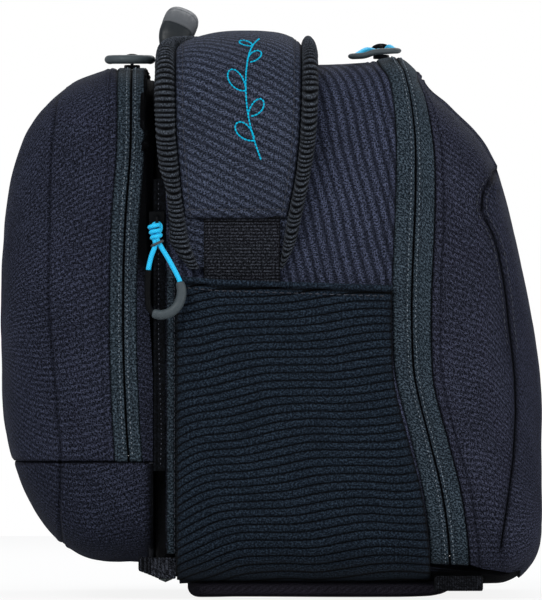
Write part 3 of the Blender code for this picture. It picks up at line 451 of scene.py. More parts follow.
def woven(name, light, bands, band_pitch, turn):
    """Plain-woven charcoal cloth: bright slubs on a dark ground, with wavy bands over it."""
    dark = tuple(0.07 * part for part in light)
    shader = Shader(name, light, 0.9, Sheen_Weight=0.015, Sheen_Roughness=0.4, Specular_IOR_Level=0.04)
    shader.main.inputs["Sheen Tint"].default_value = (0.6, 0.65, 0.8, 1)
    slubs = shader.noise(shader.place((0.6, 1.4, 1)), SLUB_SCALE, 2.0, 0.6)
    threads = shader.noise(shader.place((1.4, 0.6, 1)), SLUB_SCALE, 2.0, 0.6)
    place = shader.place()
    cloudy = shader.noise(place, 30.0, 3.0)
    turned = shader.place(rotation=(0, 0, math.radians(turn)))
    scale = pitch(band_pitch)
    lines = shader.wave(turned, scale, "Y", 4.0, detail_scale=16.0 / scale)
    warp = shader.wave(place, pitch(THREAD_PITCH), "X")
    weft = shader.wave(place, pitch(THREAD_PITCH), "Y")
    fine = shader.math("MAXIMUM", slubs, threads)
    share = shader.ramp(fine, 0.50, 0.66)
    share = shader.math("MULTIPLY", share, shader.ramp(lines, 0.0, 1.0, 1.0 - bands, 1.0 + bands))
    share = shader.math("MULTIPLY", share, shader.ramp(cloudy, 0.3, 0.7, 0.75, 1.2))
    shader.colour(shader.mix(share, dark, light))
    height = shader.math("ADD", shader.math("MULTIPLY", warp, weft), shader.math("MULTIPLY", fine, 1.4))
    shader.bump(height, 0.0003, 0.5)
    shader.roughness(shader.ramp(fine, 0.3, 0.7, 0.78, 0.95))
    return shader.material


def speckled(name, dark, light, rib, rib_pitch=0.0011, direction="Y", coordinate="UV", scale=1000.0):
    """Coarse woven tape or stretch cloth: bright specks on a dark ground, with ribs across it."""
    shader = Shader(name, light, 0.88, Sheen_Weight=0.01, Sheen_Roughness=0.5, Specular_IOR_Level=0.05)
    place = shader.place(coordinate=coordinate)
    speck = shader.noise(place, scale, 2.0, 0.7)
    coarse = shader.noise(place, 60.0, 2.0)
    band = shader.wave(place, pitch(rib_pitch), direction, 0.8, detail_scale=2.0)
    specks = shader.ramp(speck, 0.46, 0.62)
    share = shader.math("MULTIPLY", specks, shader.ramp(coarse, 0.3, 0.7, 0.8, 1.15))
    share = shader.math("MULTIPLY_ADD", band, rib, share)
    shader.colour(shader.mix(share, dark, light))
    shader.bump(shader.math("MULTIPLY_ADD", band, 0.6 + rib, speck), 0.0004, 0.55)
    shader.roughness(shader.ramp(speck, 0.3, 0.7, 0.75, 0.93))
    return shader.material


def hard(name, colour, roughness, grain=900.0, bump=0.3, metallic=0.0, spread=0.25, shine=0.3):
    """Moulded plastic, rubber or coated metal, with a fine grain and a few scuffs."""
    shader = Shader(name, colour, roughness, Metallic=metallic, Specular_IOR_Level=shine)
    place = shader.place(coordinate="Object")
    fine = shader.noise(place, grain, 3.0)
    cloudy = shader.noise(place, 45.0, 4.0)
    scuff = shader.noise(shader.place((1, 0.15, 1), "Object"), 380.0, 2.0)
    low = tuple(part * (1 - spread) for part in colour)
    high = tuple(min(1.0, part * (1 + spread)) for part in colour)
    share = shader.math("MULTIPLY_ADD", fine, 0.4, shader.math("MULTIPLY", cloudy, 0.6))
    shader.colour(shader.mix(share, low, high))
    shader.roughness(shader.ramp(scuff, 0.35, 0.75, roughness - 0.08, min(1.0, roughness + 0.14)))
    shader.bump(shader.math("MULTIPLY_ADD", scuff, 0.4, fine), 0.00012, bump)
    return shader.material


def sleeved_metal(name, coat, cloth, top):
    """Coated tube that is bare up to height top and runs in a black cloth sleeve above it."""
    shader = Shader(name, coat, 0.5, Specular_IOR_Level=0.15)
    place = shader.place(coordinate="Object")
    height = shader.add("SeparateXYZ", None, Vector=place).outputs["Z"]
    bare = shader.ramp(height, top - 0.0004, top + 0.0004, 1.0, 0.0)
    weave = shader.noise(place, 1000.0, 2.0, 0.7)
    cloudy = shader.noise(place, 60.0, 3.0)
    woven = shader.mix(weave, tuple(0.3 * part for part in cloth), cloth)
    coated = shader.mix(cloudy, tuple(0.7 * part for part in coat), tuple(1.3 * part for part in coat))
    shader.colour(shader.mix(bare, woven, coated))
    shader.roughness(shader.ramp(bare, 0.0, 1.0, 0.92, 0.42))
    shader.bump(shader.math("MULTIPLY", weave, shader.ramp(bare, 0.0, 1.0, 1.0, 0.15)), 0.0004, 0.5)
    return shader.material


def cord_material(name, dark, light):
    """Braided cord: two sets of strands that cross at a slant."""
    shader = Shader(name, light, 0.55, Sheen_Weight=0.15, Sheen_Roughness=0.4, Specular_IOR_Level=0.4)
    first = shader.wave(shader.place(rotation=(0, 0, math.radians(52))), pitch(0.0008), "X")
    second = shader.wave(shader.place(rotation=(0, 0, math.radians(-52))), pitch(0.0008), "X")
    strands = shader.math("MAXIMUM", first, second)
    fibre = shader.noise(shader.place(), 1800.0, 2.0)
    share = shader.math("MULTIPLY_ADD", fibre, 0.4, shader.math("MULTIPLY", strands, 0.75))
    shader.colour(shader.mix(share, dark, light))
    shader.bump(shader.math("MULTIPLY_ADD", fibre, 0.3, strands), 0.0002, 0.6)
    return shader.material


SOLID = {"coordinate": "Object"}
FINE = ("Object", 2500.0)
CLOTH = woven("cloth_skin", (0.066, 0.077, 0.126), 0.70, 0.0046, 76)
REAR_CLOTH = woven("rear_cloth", (0.044, 0.050, 0.082), 0.45, 0.0022, 14)
FRONT_CLOTH = woven("front_cloth", (0.050, 0.055, 0.088), 0.40, 0.0024, -8)
PAD_CLOTH = woven("pad_cloth", (0.074, 0.089, 0.136), 0.65, 0.0040, 28)
BASE_CLOTH = woven("base_cloth", (0.070, 0.064, 0.088), 0.3, 0.0040, 10)
TAPE = speckled("zip_tape", (0.0040, 0.0070, 0.0100), (0.055, 0.077, 0.098), 0.05)
RIBBED = speckled("ribbed_cloth", (0.0022, 0.0042, 0.0074), (0.021, 0.033, 0.050), 0.05, 0.0009, "X")
WEBBING = speckled("webbing", (0.0022, 0.0025, 0.0036), (0.048, 0.053, 0.067), 0.10, 0.0012, "X")
ROLL_MESH = speckled("roll_mesh", (0.0030, 0.0038, 0.0054), (0.105, 0.122, 0.150), 0.1, 0.0007, "X")
BLACK_TAPE = speckled("black_tape", (0.0008, 0.0010, 0.0014), (0.004, 0.005, 0.007), 0.1, **SOLID)
INNER_CLOTH = speckled("inner_cloth", (0.010, 0.011, 0.014), (0.035, 0.037, 0.045), 0.1, **SOLID)
THREAD = speckled("thread", (0.010, 0.011, 0.015), (0.075, 0.080, 0.098), 0.3, 0.0005, "X", *FINE)
LIGHT_THREAD = speckled("light_thread", (0.06, 0.075, 0.09), (0.24, 0.28, 0.32), 0.3, 0.0005, "X", *FINE)
CYAN_THREAD = speckled("cyan_thread", (0.0, 0.22, 0.40), (0.005, 0.62, 0.88), 0.3, 0.0005, "X", *FINE)
TEETH = hard("zip_coil", (0.020, 0.024, 0.028), 0.45, 1500.0, 0.2)
GREY_RUBBER = hard("grey_rubber", (0.084, 0.090, 0.097), 0.66, 1400.0, 0.35, shine=0.2)
DARK_PLASTIC = hard("dark_plastic", (0.0070, 0.0105, 0.0130), 0.5, 1200.0, 0.3)
BLACK_PLASTIC = hard("black_plastic", (0.0016, 0.0020, 0.0026), 0.6, 1200.0, 0.3, shine=0.06)
SLEEVE_PLASTIC = hard("sleeve_plastic", (0.040, 0.052, 0.058), 0.6, 1200.0, 0.25)
FRAME_COAT = hard("frame_coat", (0.090, 0.105, 0.105), 0.42, 1500.0, 0.15, 0.3)
FRAME_TUBE = sleeved_metal("sleeved_frame_tube", (0.110, 0.130, 0.130), (0.0022, 0.0026, 0.0034), 0.0200)
STEEL = hard("pin_steel", (0.42, 0.43, 0.44), 0.3, 1500.0, 0.1, 1.0, 0.1)
BOARD = hard("board", (0.016, 0.017, 0.020), 0.7, 500.0, 0.5)
CORD = cord_material("pull_cord", (0.0, 0.20, 0.42), (0.0, 0.55, 0.90))


# Skins


def spread_by(density, t, count):
    """Values of t, closer together where their density is high."""
    total = np.concatenate([[0], np.cumsum((density[1:] + density[:-1]) / 2)])
    return np.interp(np.linspace(0, total[-1], count), total, t)


def dense_shares(count, start=0.0, end=0.0, spread=0.08):
    """Shares from 0 to 1, closer together near the ends by the given amounts."""
    t = np.linspace(0, 1, 400)
    return spread_by(1 + start * np.exp(-t / spread) + end * np.exp(-(1 - t) / spread), t, count)


def form_grid(form, x, shares):
    """Grid over a form: a row at each share of the section, at the x of that row or of all of them."""
    x = np.broadcast_to(x, (len(shares), np.shape(x)[-1]))
    s = np.repeat(shares[:, None], x.shape[1], 1)
    return form(x.ravel(), s.ravel()).reshape(*x.shape, 3)


def skin_grid(form, shares, start, end, count, dense_start=0.0, dense_end=0.0):
    """Grid over a form: a row at each share of the section, from its start x to its end x."""
    across = dense_shares(count, dense_start, dense_end)
    return form_grid(form, start[:, None] + (end - start)[:, None] * across, shares)


def fold(grid, amount):
    """The grid moved outward by amount, which is an array over it."""
    return grid - normals_of(grid) * amount[..., None]


def soft_relief(grid, big, fine, seed, streak=(1.0, 1.0, 1.0)):
    """Soft dents and fine ones, as heights over a grid."""
    flat = grid.reshape(-1, 3) * np.array(streak)
    relief = big * wave_noise(flat, 0.045, seed) + fine * wave_noise(flat, 0.012, seed + 1)
    return relief.reshape(grid.shape[:2])


def distance_to(grid, line):
    """Distance in side view of each point of the grid from a line of (x, z) points."""
    points = grid[..., (0, 2)]
    best = np.full(points.shape[:2], 1.0)
    for first, second in zip(line[:-1], line[1:]):
        first = np.array(first)
        run = np.array(second) - first
        share = clamp(((points - first) @ run) / (run @ run))
        gap = np.linalg.norm(points - first - share[..., None] * run, axis=-1)
        best = np.minimum(best, gap)
    return best


def seam_groove(across, place, depth=0.0006, width=0.0006):
    """A stitched seam at a distance across the cloth, with the cloth a little proud beside it."""
    away = np.abs(across - place)
    return -depth * bell(away, width) + 0.35 * depth * bell(away - 2.2 * width, width)


def cap_rings(grid, x, count, rise, middle=None):
    """The grid closed at its last column by rings that shrink to a point."""
    rim = grid[:, -1]
    middle = rim.mean(0) if middle is None else np.array(middle)
    rings = [grid]
    for k in range(1, count + 1):
        t = k / count
        ring = middle + (rim - middle) * (1 - t)
        ring[:, 0] = x + rise * math.sin(t * math.pi / 2)
        rings.append(ring[:, None])
    return np.concatenate(rings, 1)


def stand_for(obj, *nodes):
    """Hides the CAD nodes that an object replaces."""
    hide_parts(*nodes)
    return obj


def side_patch(name, grid, material, body, node, thickness=SKIN):
    """A grid made for the near side, and its mirror image on the far side."""
    made = []
    for side, sign in SIDES:
        here = grid if sign < 0 else grid * MIRROR
        obj = grid_object(f"{name}_{side}", here, material, body, thickness, flip=sign > 0, uv_from=grid)
        if node:
            stand_for(obj, *[f"{one}_{side}" for one in node.split()])
        made.append(obj)
    return made


def tube_faces(start, rings, sides):
    """Faces between rings of points that follow each other from index start."""
    faces = []
    for low in range(start, start + (rings - 1) * sides, sides):
        for k in range(sides):
            j = (k + 1) % sides
            faces.append((low + k, low + j, low + sides + j, low + sides + k))
    return faces


def closed_tube(name, rings, material, body):
    """A tube through rings of points, closed at both ends, with UVs in metres (around, along)."""
    count, sides = rings.shape[:2]
    points = np.concatenate([rings.reshape(-1, 3), rings[0].mean(0)[None], rings[-1].mean(0)[None]])
    faces = tube_faces(0, count, sides)
    for k in range(sides):
        j = (k + 1) % sides
        faces.append((count * sides, j, k))
        faces.append((count * sides + 1, (count - 1) * sides + k, (count - 1) * sides + j))
    obj = mesh_object(name, points, faces, material, body)
    shape = bmesh.new()
    shape.from_mesh(obj.data)
    bmesh.ops.recalc_face_normals(shape, faces=shape.faces)
    shape.to_mesh(obj.data)
    shape.free()
    girth = np.linalg.norm(np.diff(rings, axis=1, append=rings[:, :1]), axis=-1).sum(1).mean()
    round_it = np.tile(np.arange(sides) * girth / sides, count)
    along = distances(rings.mean(1))
    v = np.concatenate([np.repeat(along, sides), [0, along[-1]]])
    set_uvs(obj.data, np.concatenate([round_it, [0, 0]]), v)
    return obj


def sweep_rings(path, sizes, sides=18, level=(0, -1, 0)):
    """Oval rings along a path; sizes are half widths across and along the level direction."""
    path = np.asarray(path, float)
    sizes = np.broadcast_to(np.asarray(sizes, float), (len(path), 2))
    along = np.gradient(path, axis=0)
    along = directions(along)
    up = np.array(level, float) - along * (along @ np.array(level, float))[:, None]
    up = directions(up)
    side = np.cross(up, along)
    turns = around(sides)
    wide = np.cos(turns)[None, :, None] * sizes[:, 0, None, None] * side[:, None]
    high = np.sin(turns)[None, :, None] * sizes[:, 1, None, None] * up[:, None]
    return path[:, None] + wide + high


STITCH_SPOTS = np.array([0.0, 0.14, 0.5, 0.86, 1.0])
STITCH_SIZES = (0.25, 0.85, 1.0, 0.85, 0.25)
STITCH_SIDES = 6


def stitches(name, rows, body, length=0.0024, gap=0.0012, radius=0.00030, material=None, first=0.0):
    """Thread stitches along rows, each a path and the outward direction at its points."""
    points = []
    faces = []
    turns = around(STITCH_SIDES)
    for path, outward in rows:
        path = np.asarray(path, float)
        outward = np.broadcast_to(np.asarray(outward, float), path.shape)
        travelled = distances(path)
        for start in np.arange(gap + first, travelled[-1] - length, length + gap):
            spots = start + length * STITCH_SPOTS
            centre = np.stack([np.interp(spots, travelled, path[:, k]) for k in range(3)], -1)
            up = np.array([np.interp(spots[2], travelled, outward[:, k]) for k in range(3)])
            along = centre[-1] - centre[0]
            along /= np.linalg.norm(along)
            side = np.cross(up, along)
            faces += tube_faces(len(points), len(spots), STITCH_SIDES)
            for spot, size in zip(centre, STITCH_SIZES):
                lift = up * radius * (0.5 * size - 0.4)
                for turn in turns:
                    spoke = math.cos(turn) * side + math.sin(turn) * up
                    points.append(spot + lift + radius * size * spoke)
    return mesh_object(name, points, faces, material or THREAD, body)


MIRROR = np.array((1, -1, 1))


def both_rows(rows):
    """Rows of stitches on the near side and their mirror images on the far side."""
    return [*rows, *[(np.asarray(path) * MIRROR, np.asarray(out) * MIRROR) for path, out in rows]]


def grid_row(grid, column, lift=0.0):
    """A column of a near-side grid as a path for stitches, with its outward directions."""
    outward = -normals_of(grid)[:, column]
    return grid[:, column] + outward * lift, outward


# Seams, as (x, z) in side view
FRONT_SEAM = ((0.1130, 0.2145), (0.1065, 0.2040), (0.1055, 0.1940), (0.1113, 0.1820), (0.1140, 0.1740),
              (0.1163, 0.1610), (0.1180, 0.1490), (0.1192, 0.1366), (0.1208, 0.1240), (0.1222, 0.1095),
              (0.1228, 0.0940), (0.1215, 0.0700), (0.1180, 0.0450), (0.1150, 0.0250))
HEM_Z = 0.2145
PLEATS = (0.112, 0.2065)
REAR_SEAM = ((-0.1046, 0.2560), (-0.1080, 0.2500), (-0.1105, 0.2195), (-0.1115, 0.1495), (-0.1075, 0.1000),
             (-0.1055, 0.0745), (-0.1065, 0.0395), (-0.1040, 0.0250))
FELL = 0.0022  # distance of the stitches from the front seam, on both sides
PANEL_RISE = 0.0013  # how far the front's outer panel stands proud of its gusset
FRONT_SIDE_Y = 0.10  # beyond this the seams of the sides are drawn
REAR_SIDE_Y = 0.09
LOWER_FOLD = ((-0.0915, 0.0645), (-0.0760, 0.0480), (-0.0580, 0.0270))


MAIN_SHARES = np.linspace(0, 1, 421)[:-1]


def front_border(distance, hinge):
    """Border of a skin at the front zip and, under the toe, at the hinge: x, height, share under the toe."""
    edge = zip_edge(main_point, FRONT_LINE, MAIN_SHARES, distance)
    z = main_point(edge, MAIN_SHARES)[:, 2]
    floor = clamp((FRONT_RIM_Z - z) / 0.0025)
    below = np.minimum(MAIN_SHARES, 1 - MAIN_SHARES) < 0.25
    return np.where(below, edge + (hinge - edge) * floor, edge), z, floor


# The main skin starts further forward round the frame's foot (below a height) and the handle's lugs
FOOT_Z, FOOT_X = 0.022, -0.0460
LUG_Y, LUG_HALF, LUG_X = 0.072, 0.0125, -0.0478
TOP_Z = 0.25
# Distance of the stitched seams from the zips' tapes
MAIN_SEAM = 0.0035
GUSSET_SEAM = 0.0050
COVER_SEAM = 0.0040


def main_skins():
    """Skin of the middle compartment, from the gap to the front zip and, below, to the front hinge."""
    shares = MAIN_SHARES
    end, z, floor = front_border(-FRONT_HALF, FRONT_HINGE_X)
    start = np.full(len(shares), MAIN_REAR_X)
    start = np.where(z < FOOT_Z, FOOT_X, start)
    y = main_point(start, shares)[:, 1]
    start = np.where((np.abs(np.abs(y) - LUG_Y) < LUG_HALF) & (z > TOP_Z), LUG_X, start)
    grid = skin_grid(main_point, shares, start, end, 120, 1.0, 3.0)
    across = lengths(grid, 1)
    to_zip = across[:, -1:] - across
    relief = soft_relief(grid, 0.0010, 0.00025, 3, (1.3, 1, 0.6))
    relief *= clamp(to_zip / 0.006) * clamp(across / 0.008)
    at_zip = (1 - floor)[:, None]
    relief = relief + at_zip * (seam_groove(to_zip, MAIN_SEAM, 0.0004) - 0.0006 * bell(to_zip, 0.0008))
    obj = grid_object("main_skin", fold(grid, relief), CLOTH, "main_body", closed=True)
    # Painted shade in the groove at the zip's edge and along the seam, and a painted shadow low down at the
    # front, below the foot of the front zip
    shade = 0.8 * bell(to_zip, 0.0006) + 0.4 * bell(to_zip - MAIN_SEAM, 0.0005)
    paint_shade(obj, shade + clamp((0.0215 - grid[..., 2]) / 0.004) * clamp((grid[..., 0] - 0.070) / 0.010))
    stand_for(obj, "main_top_panel", "main_bottom_panel", "main_side_panel_near", "main_side_panel_far")


def front_skin():
    """Skin of the front cover, with its raised outer panel, pleats under its corner, and level overlap."""
    start, _, floor = front_border(FRONT_HALF, FRONT_HINGE_X + 0.0003)
    end = np.full(len(start), FRONT_END_X)
    grid = skin_grid(main_point, MAIN_SHARES, start, end, 150, 3.0, 4.0)
    grid = cap_rings(grid, FRONT_END_X, 14, 0.0007)
    across = lengths(grid, 1)
    relief = soft_relief(grid, 0.0012, 0.0003, 5, (1.2, 1, 0.7)) * clamp(across / 0.008)
    groove = seam_groove(across, GUSSET_SEAM + 0.0004 * np.sin(across[:, :1] + grid[:, :1, 2] * 140), 0.0007)
    relief += (1 - floor)[:, None] * (groove - 0.0007 * bell(across, 0.0008))
    away = distance_to(grid, FRONT_SEAM)
    lean = np.interp(grid[..., 2], *zip(*[(z, x) for x, z in FRONT_SEAM[::-1]]))
    proud = clamp((grid[..., 0] - lean) / 0.0035)
    beside = np.abs(grid[..., 1]) > FRONT_SIDE_Y
    relief += np.where(beside, PANEL_RISE * proud - 0.0011 * bell(away, 0.0008), PANEL_RISE)
    # Short pleats under the corner where the outer panel starts
    pleat_x = grid[..., 0] - PLEATS[0]
    pleat_z = grid[..., 2] - PLEATS[1]
    pleats = np.exp(-(pleat_x / 0.0050) ** 2 - (pleat_z / 0.0055) ** 2)
    pleats *= clamp((np.abs(grid[..., 1]) - 0.155) / 0.008)
    # Overlap that runs level across the front, just above the outer panel
    above = grid[..., 2] - HEM_Z
    ahead = clamp((grid[..., 0] - 0.1085) / 0.004)
    relief += ahead * (0.0014 * clamp(above / 0.0008) * np.exp(-clamp(above) / 0.0060))
    # Painted shade in the crease under the level overlap
    hem_shade = 0.9 * ahead * bell(above + 0.0004, 0.0008)
    slanted = np.sin(2 * np.pi * (pleat_z - 0.8 * pleat_x) / 0.0028)
    relief += np.where(beside, 0.0007 * pleats * slanted, 0)
    relief[:, -15:] *= np.linspace(1, 0.2, 15)
    obj = grid_object("front_skin", fold(grid, relief), FRONT_CLOTH, "front_cover_body", closed=True)
    # Painted shade at the zip's edge, along the gusset seam and the side seam, beside the raised panel and in
    # the pleats' folds
    shade = 0.9 * bell(across, 0.0007) + 0.35 * bell(across - GUSSET_SEAM, 0.0005) + hem_shade
    seam_shade = bell(away + 0.0003, 0.0009) + 0.25 * bell(away, 0.0035) * (1 - proud)
    shade = shade + np.where(beside, seam_shade + 0.8 * pleats * clamp(-slanted), 0)
    paint_shade(obj, shade)
    stand_for(obj, "front_cover")
    rows = []
    near = np.asarray(FRONT_SEAM)[:9]
    curve = along_curve(near, np.linspace(0, 1, 160))
    for offset in (-FELL, FELL):
        x = curve[:, 0] + offset
        spots = np.array([share_at_height(main_point, px, pz) for px, pz in zip(x, curve[:, 1])])
        path = main_point(x, spots)
        out = xyz(np.full(len(x), 0.35), -1.0, 0.0)
        out = directions(out)
        rows.append((path + out * (0.0011 if offset > 0 else 0.0002), out))
    stitches("front_seam_stitches", both_rows(rows), "front_cover_body")


def upper_shares(form, line, z, count):
    """Shares of the section from height z on the near side over the top to height z on the far side."""
    low = share_at_height(form, line_x(line, z), z)
    return np.linspace(low, 1 - low, count)


# Section of a coil's loop, as (across from the middle, height), and the middle of it
COIL_PROFILE = (
    (0.0004, -0.0016), (0.0009, -0.0011), (0.0026, -0.0011),
    (0.0030, -0.0016), (0.0026, -0.0021), (0.0009, -0.0021),
)
COIL_MIDDLE = (0.0017, -0.0016)
COIL_PITCH = 0.0016


def coil(name, form, line, shares, sign, body):
    """The zip's coil under one half of its tape, as a row of rounded loops."""
    edge = zip_edge(form, line, shares, 0.0)
    travelled = distances(form(edge, shares))
    spots = np.linspace(0.001, travelled[-1] - 0.001, int(travelled[-1] / COIL_PITCH))
    share_there = np.interp(spots, travelled, shares)
    x = np.interp(share_there, shares, edge)
    base = form(x, share_there)
    along = directions(np.gradient(base, axis=0))
    ahead = directions(form(x + 0.0005, share_there) - base)
    outward = -np.cross(along, ahead)
    points = []
    faces = []
    sides = len(COIL_PROFILE)
    for i in range(len(spots)):
        start = len(points)
        faces += tube_faces(start, 3, sides)
        faces += [tuple(range(start, start + sides)), tuple(range(start + 2 * sides, start + 3 * sides))]
        for step, swell in ((-0.0005, 0.55), (0.0, 1.0), (0.0005, 0.55)):
            for across, high in COIL_PROFILE:
                a = COIL_MIDDLE[0] + (across - COIL_MIDDLE[0]) * (0.75 + 0.25 * swell)
                h = COIL_MIDDLE[1] + (high - COIL_MIDDLE[1]) * swell
                points.append(base[i] + along[i] * step + ahead[i] * sign * a + outward[i] * h)
    mesh_object(name, points, faces, TEETH, body)


# Halves of each zip: side of its line, body, node, and whether its tape is wide
FRONT_ZIP = (
    (-1, "main_body", "front_zip_bag_tape", True),
    (1, "front_cover_body", "front_zip_cover_tape", True),
)
REAR_ZIP = (
    (1, "rear_compartment_body", "rear_zip_wall_tape", False),
    (-1, "rear_cover_body", "rear_zip_cover_tape", False),
)


def zip_halves(form, line, z, half, rows):
    """Both halves of a zip: a woven tape each with rolled edges and stitches, and its coil underneath."""
    shares = upper_shares(form, line, z, 460)
    for sign, body, node, wide in rows:
        first, last = sorted((sign * 0.0002, sign * half))
        start = zip_edge(form, line, shares, first)
        end = zip_edge(form, line, shares, last)
        grid = skin_grid(form, shares, start, end, 34, 4.0, 3.0)
        across = lengths(grid, 1)
        from_middle = across if sign > 0 else across[:, -1:] - across
        from_edge = across[:, -1:] - across if sign > 0 else across
        sink = 0.0004 + 0.0007 * bell(from_middle, 0.0005) + 0.0006 * bell(from_edge, 0.0006)
        sink = sink + 0.00035 * bell(from_middle - 0.0025, 0.0004)
        top = clamp((grid[..., 2] - 0.2600) / 0.0045)
        sink = sink - 0.0010 * top - soft_relief(grid, 0.0001, 0.0001, 15)
        grid = fold(grid, -sink)
        tape = grid_object(f"{node}_strip", grid, TAPE, body, thickness=0.0011)
        # Painted shade in the gap down the zip's middle, at the tape's outer edge (stronger on the front
        # cover's wide tape) and in a faint line 3.6 mm from the middle
        edge_shade = 1.0 if wide and sign > 0 else 0.7
        shade = 1.2 * bell(from_middle, 0.00045) + edge_shade * bell(from_edge, 0.0007)
        paint_shade(tape, shade + 0.35 * bell(from_middle - 0.0036, 0.0004))
        stand_for(tape, node)
        place = 0.0022 if wide else 0.0019
        column = int(np.argmin(np.abs(from_middle.mean(0) - place)))
        path, out = grid_row(grid, column, 0.0001)
        first = 0.0 if wide else 0.00205  # keeps the rear slider clear of the stitches at its seat
        stitches(f"{node}_stitches", [(path, out)], body, 0.0010, 0.00155, 0.00032, LIGHT_THREAD, first)
        coil(f"{node}_coil", form, line, shares, sign, body)


def cut_at(obj, z, keep_above):
    """Keep only what lies above (or below) a height, with the UVs kept."""
    shape = bmesh.new()
    shape.from_mesh(obj.data)
    normal = (0, 0, -1) if keep_above else (0, 0, 1)
    everything = [*shape.verts, *shape.edges, *shape.faces]
    bmesh.ops.bisect_plane(shape, geom=everything, plane_co=(0, 0, z), plane_no=normal, clear_outer=True)
    shape.to_mesh(obj.data)
    shape.free()


def rear_skin(node, grid, relief, shade, body, keep_above, flip):
    """Skin of the rear compartment in place of a node, cut off at the level seam."""
    name = f"{node.removesuffix('_panel')}_skin"
    seam = REAR_SEAM_Z + (0.0003 if keep_above else -0.0001)
    amount = -relief if flip else relief
    obj = grid_object(name, fold(grid, amount), REAR_CLOTH, body, thickness=0, closed=True, flip=flip)
    paint_shade(obj, shade)
    cut_at(obj, seam, keep_above)
    thicken(obj, SKIN)
    return stand_for(obj, node)


def rear_relief(grid, seed):
    """Soft waves, the upright seam and the cloth turned in at the level seam, and the painted shade in both
    seams.
    """
    relief = soft_relief(grid, 0.0014, 0.00035, seed, (1.2, 1, 0.8))
    seam = np.where(np.abs(grid[..., 1]) > REAR_SIDE_Y, distance_to(grid, REAR_SEAM), 1.0)
    relief += -0.0009 * bell(seam, 0.0007) + 0.0003 * bell(seam - 0.0018, 0.0008)
    level = np.abs(grid[..., 2] - REAR_SEAM_Z)
    shade = 0.5 * bell(seam, 0.0007) + 0.9 * bell(level, 0.0008)
    return relief - 0.0009 * bell(level, 0.0010), shade


def seam_shares(count):
    """Shares once round the rear form, closer together where the level seam runs."""
    low = share_at_height(rear_point, -0.10, REAR_SEAM_Z)
    t = np.linspace(0, 1, 4000)
    density = 1 + 7 * bell(t - low, 0.012) + 7 * bell(t - 1 + low, 0.012)
    return spread_by(density, t, count + 1)[:-1]


BACK_RINGS = 10
# x of the rear front wall's edge, by height
REAR_EDGE = (
    (0.0, 0.0645, 0.0900, 0.0995, 0.1120, 0.1260, 0.1545, 0.2650),
    (-0.0590, -0.0590, -0.0590, -0.0590, -0.0592, -0.0598, -0.0618, -0.0640),
)
WALL_COLUMNS = 16


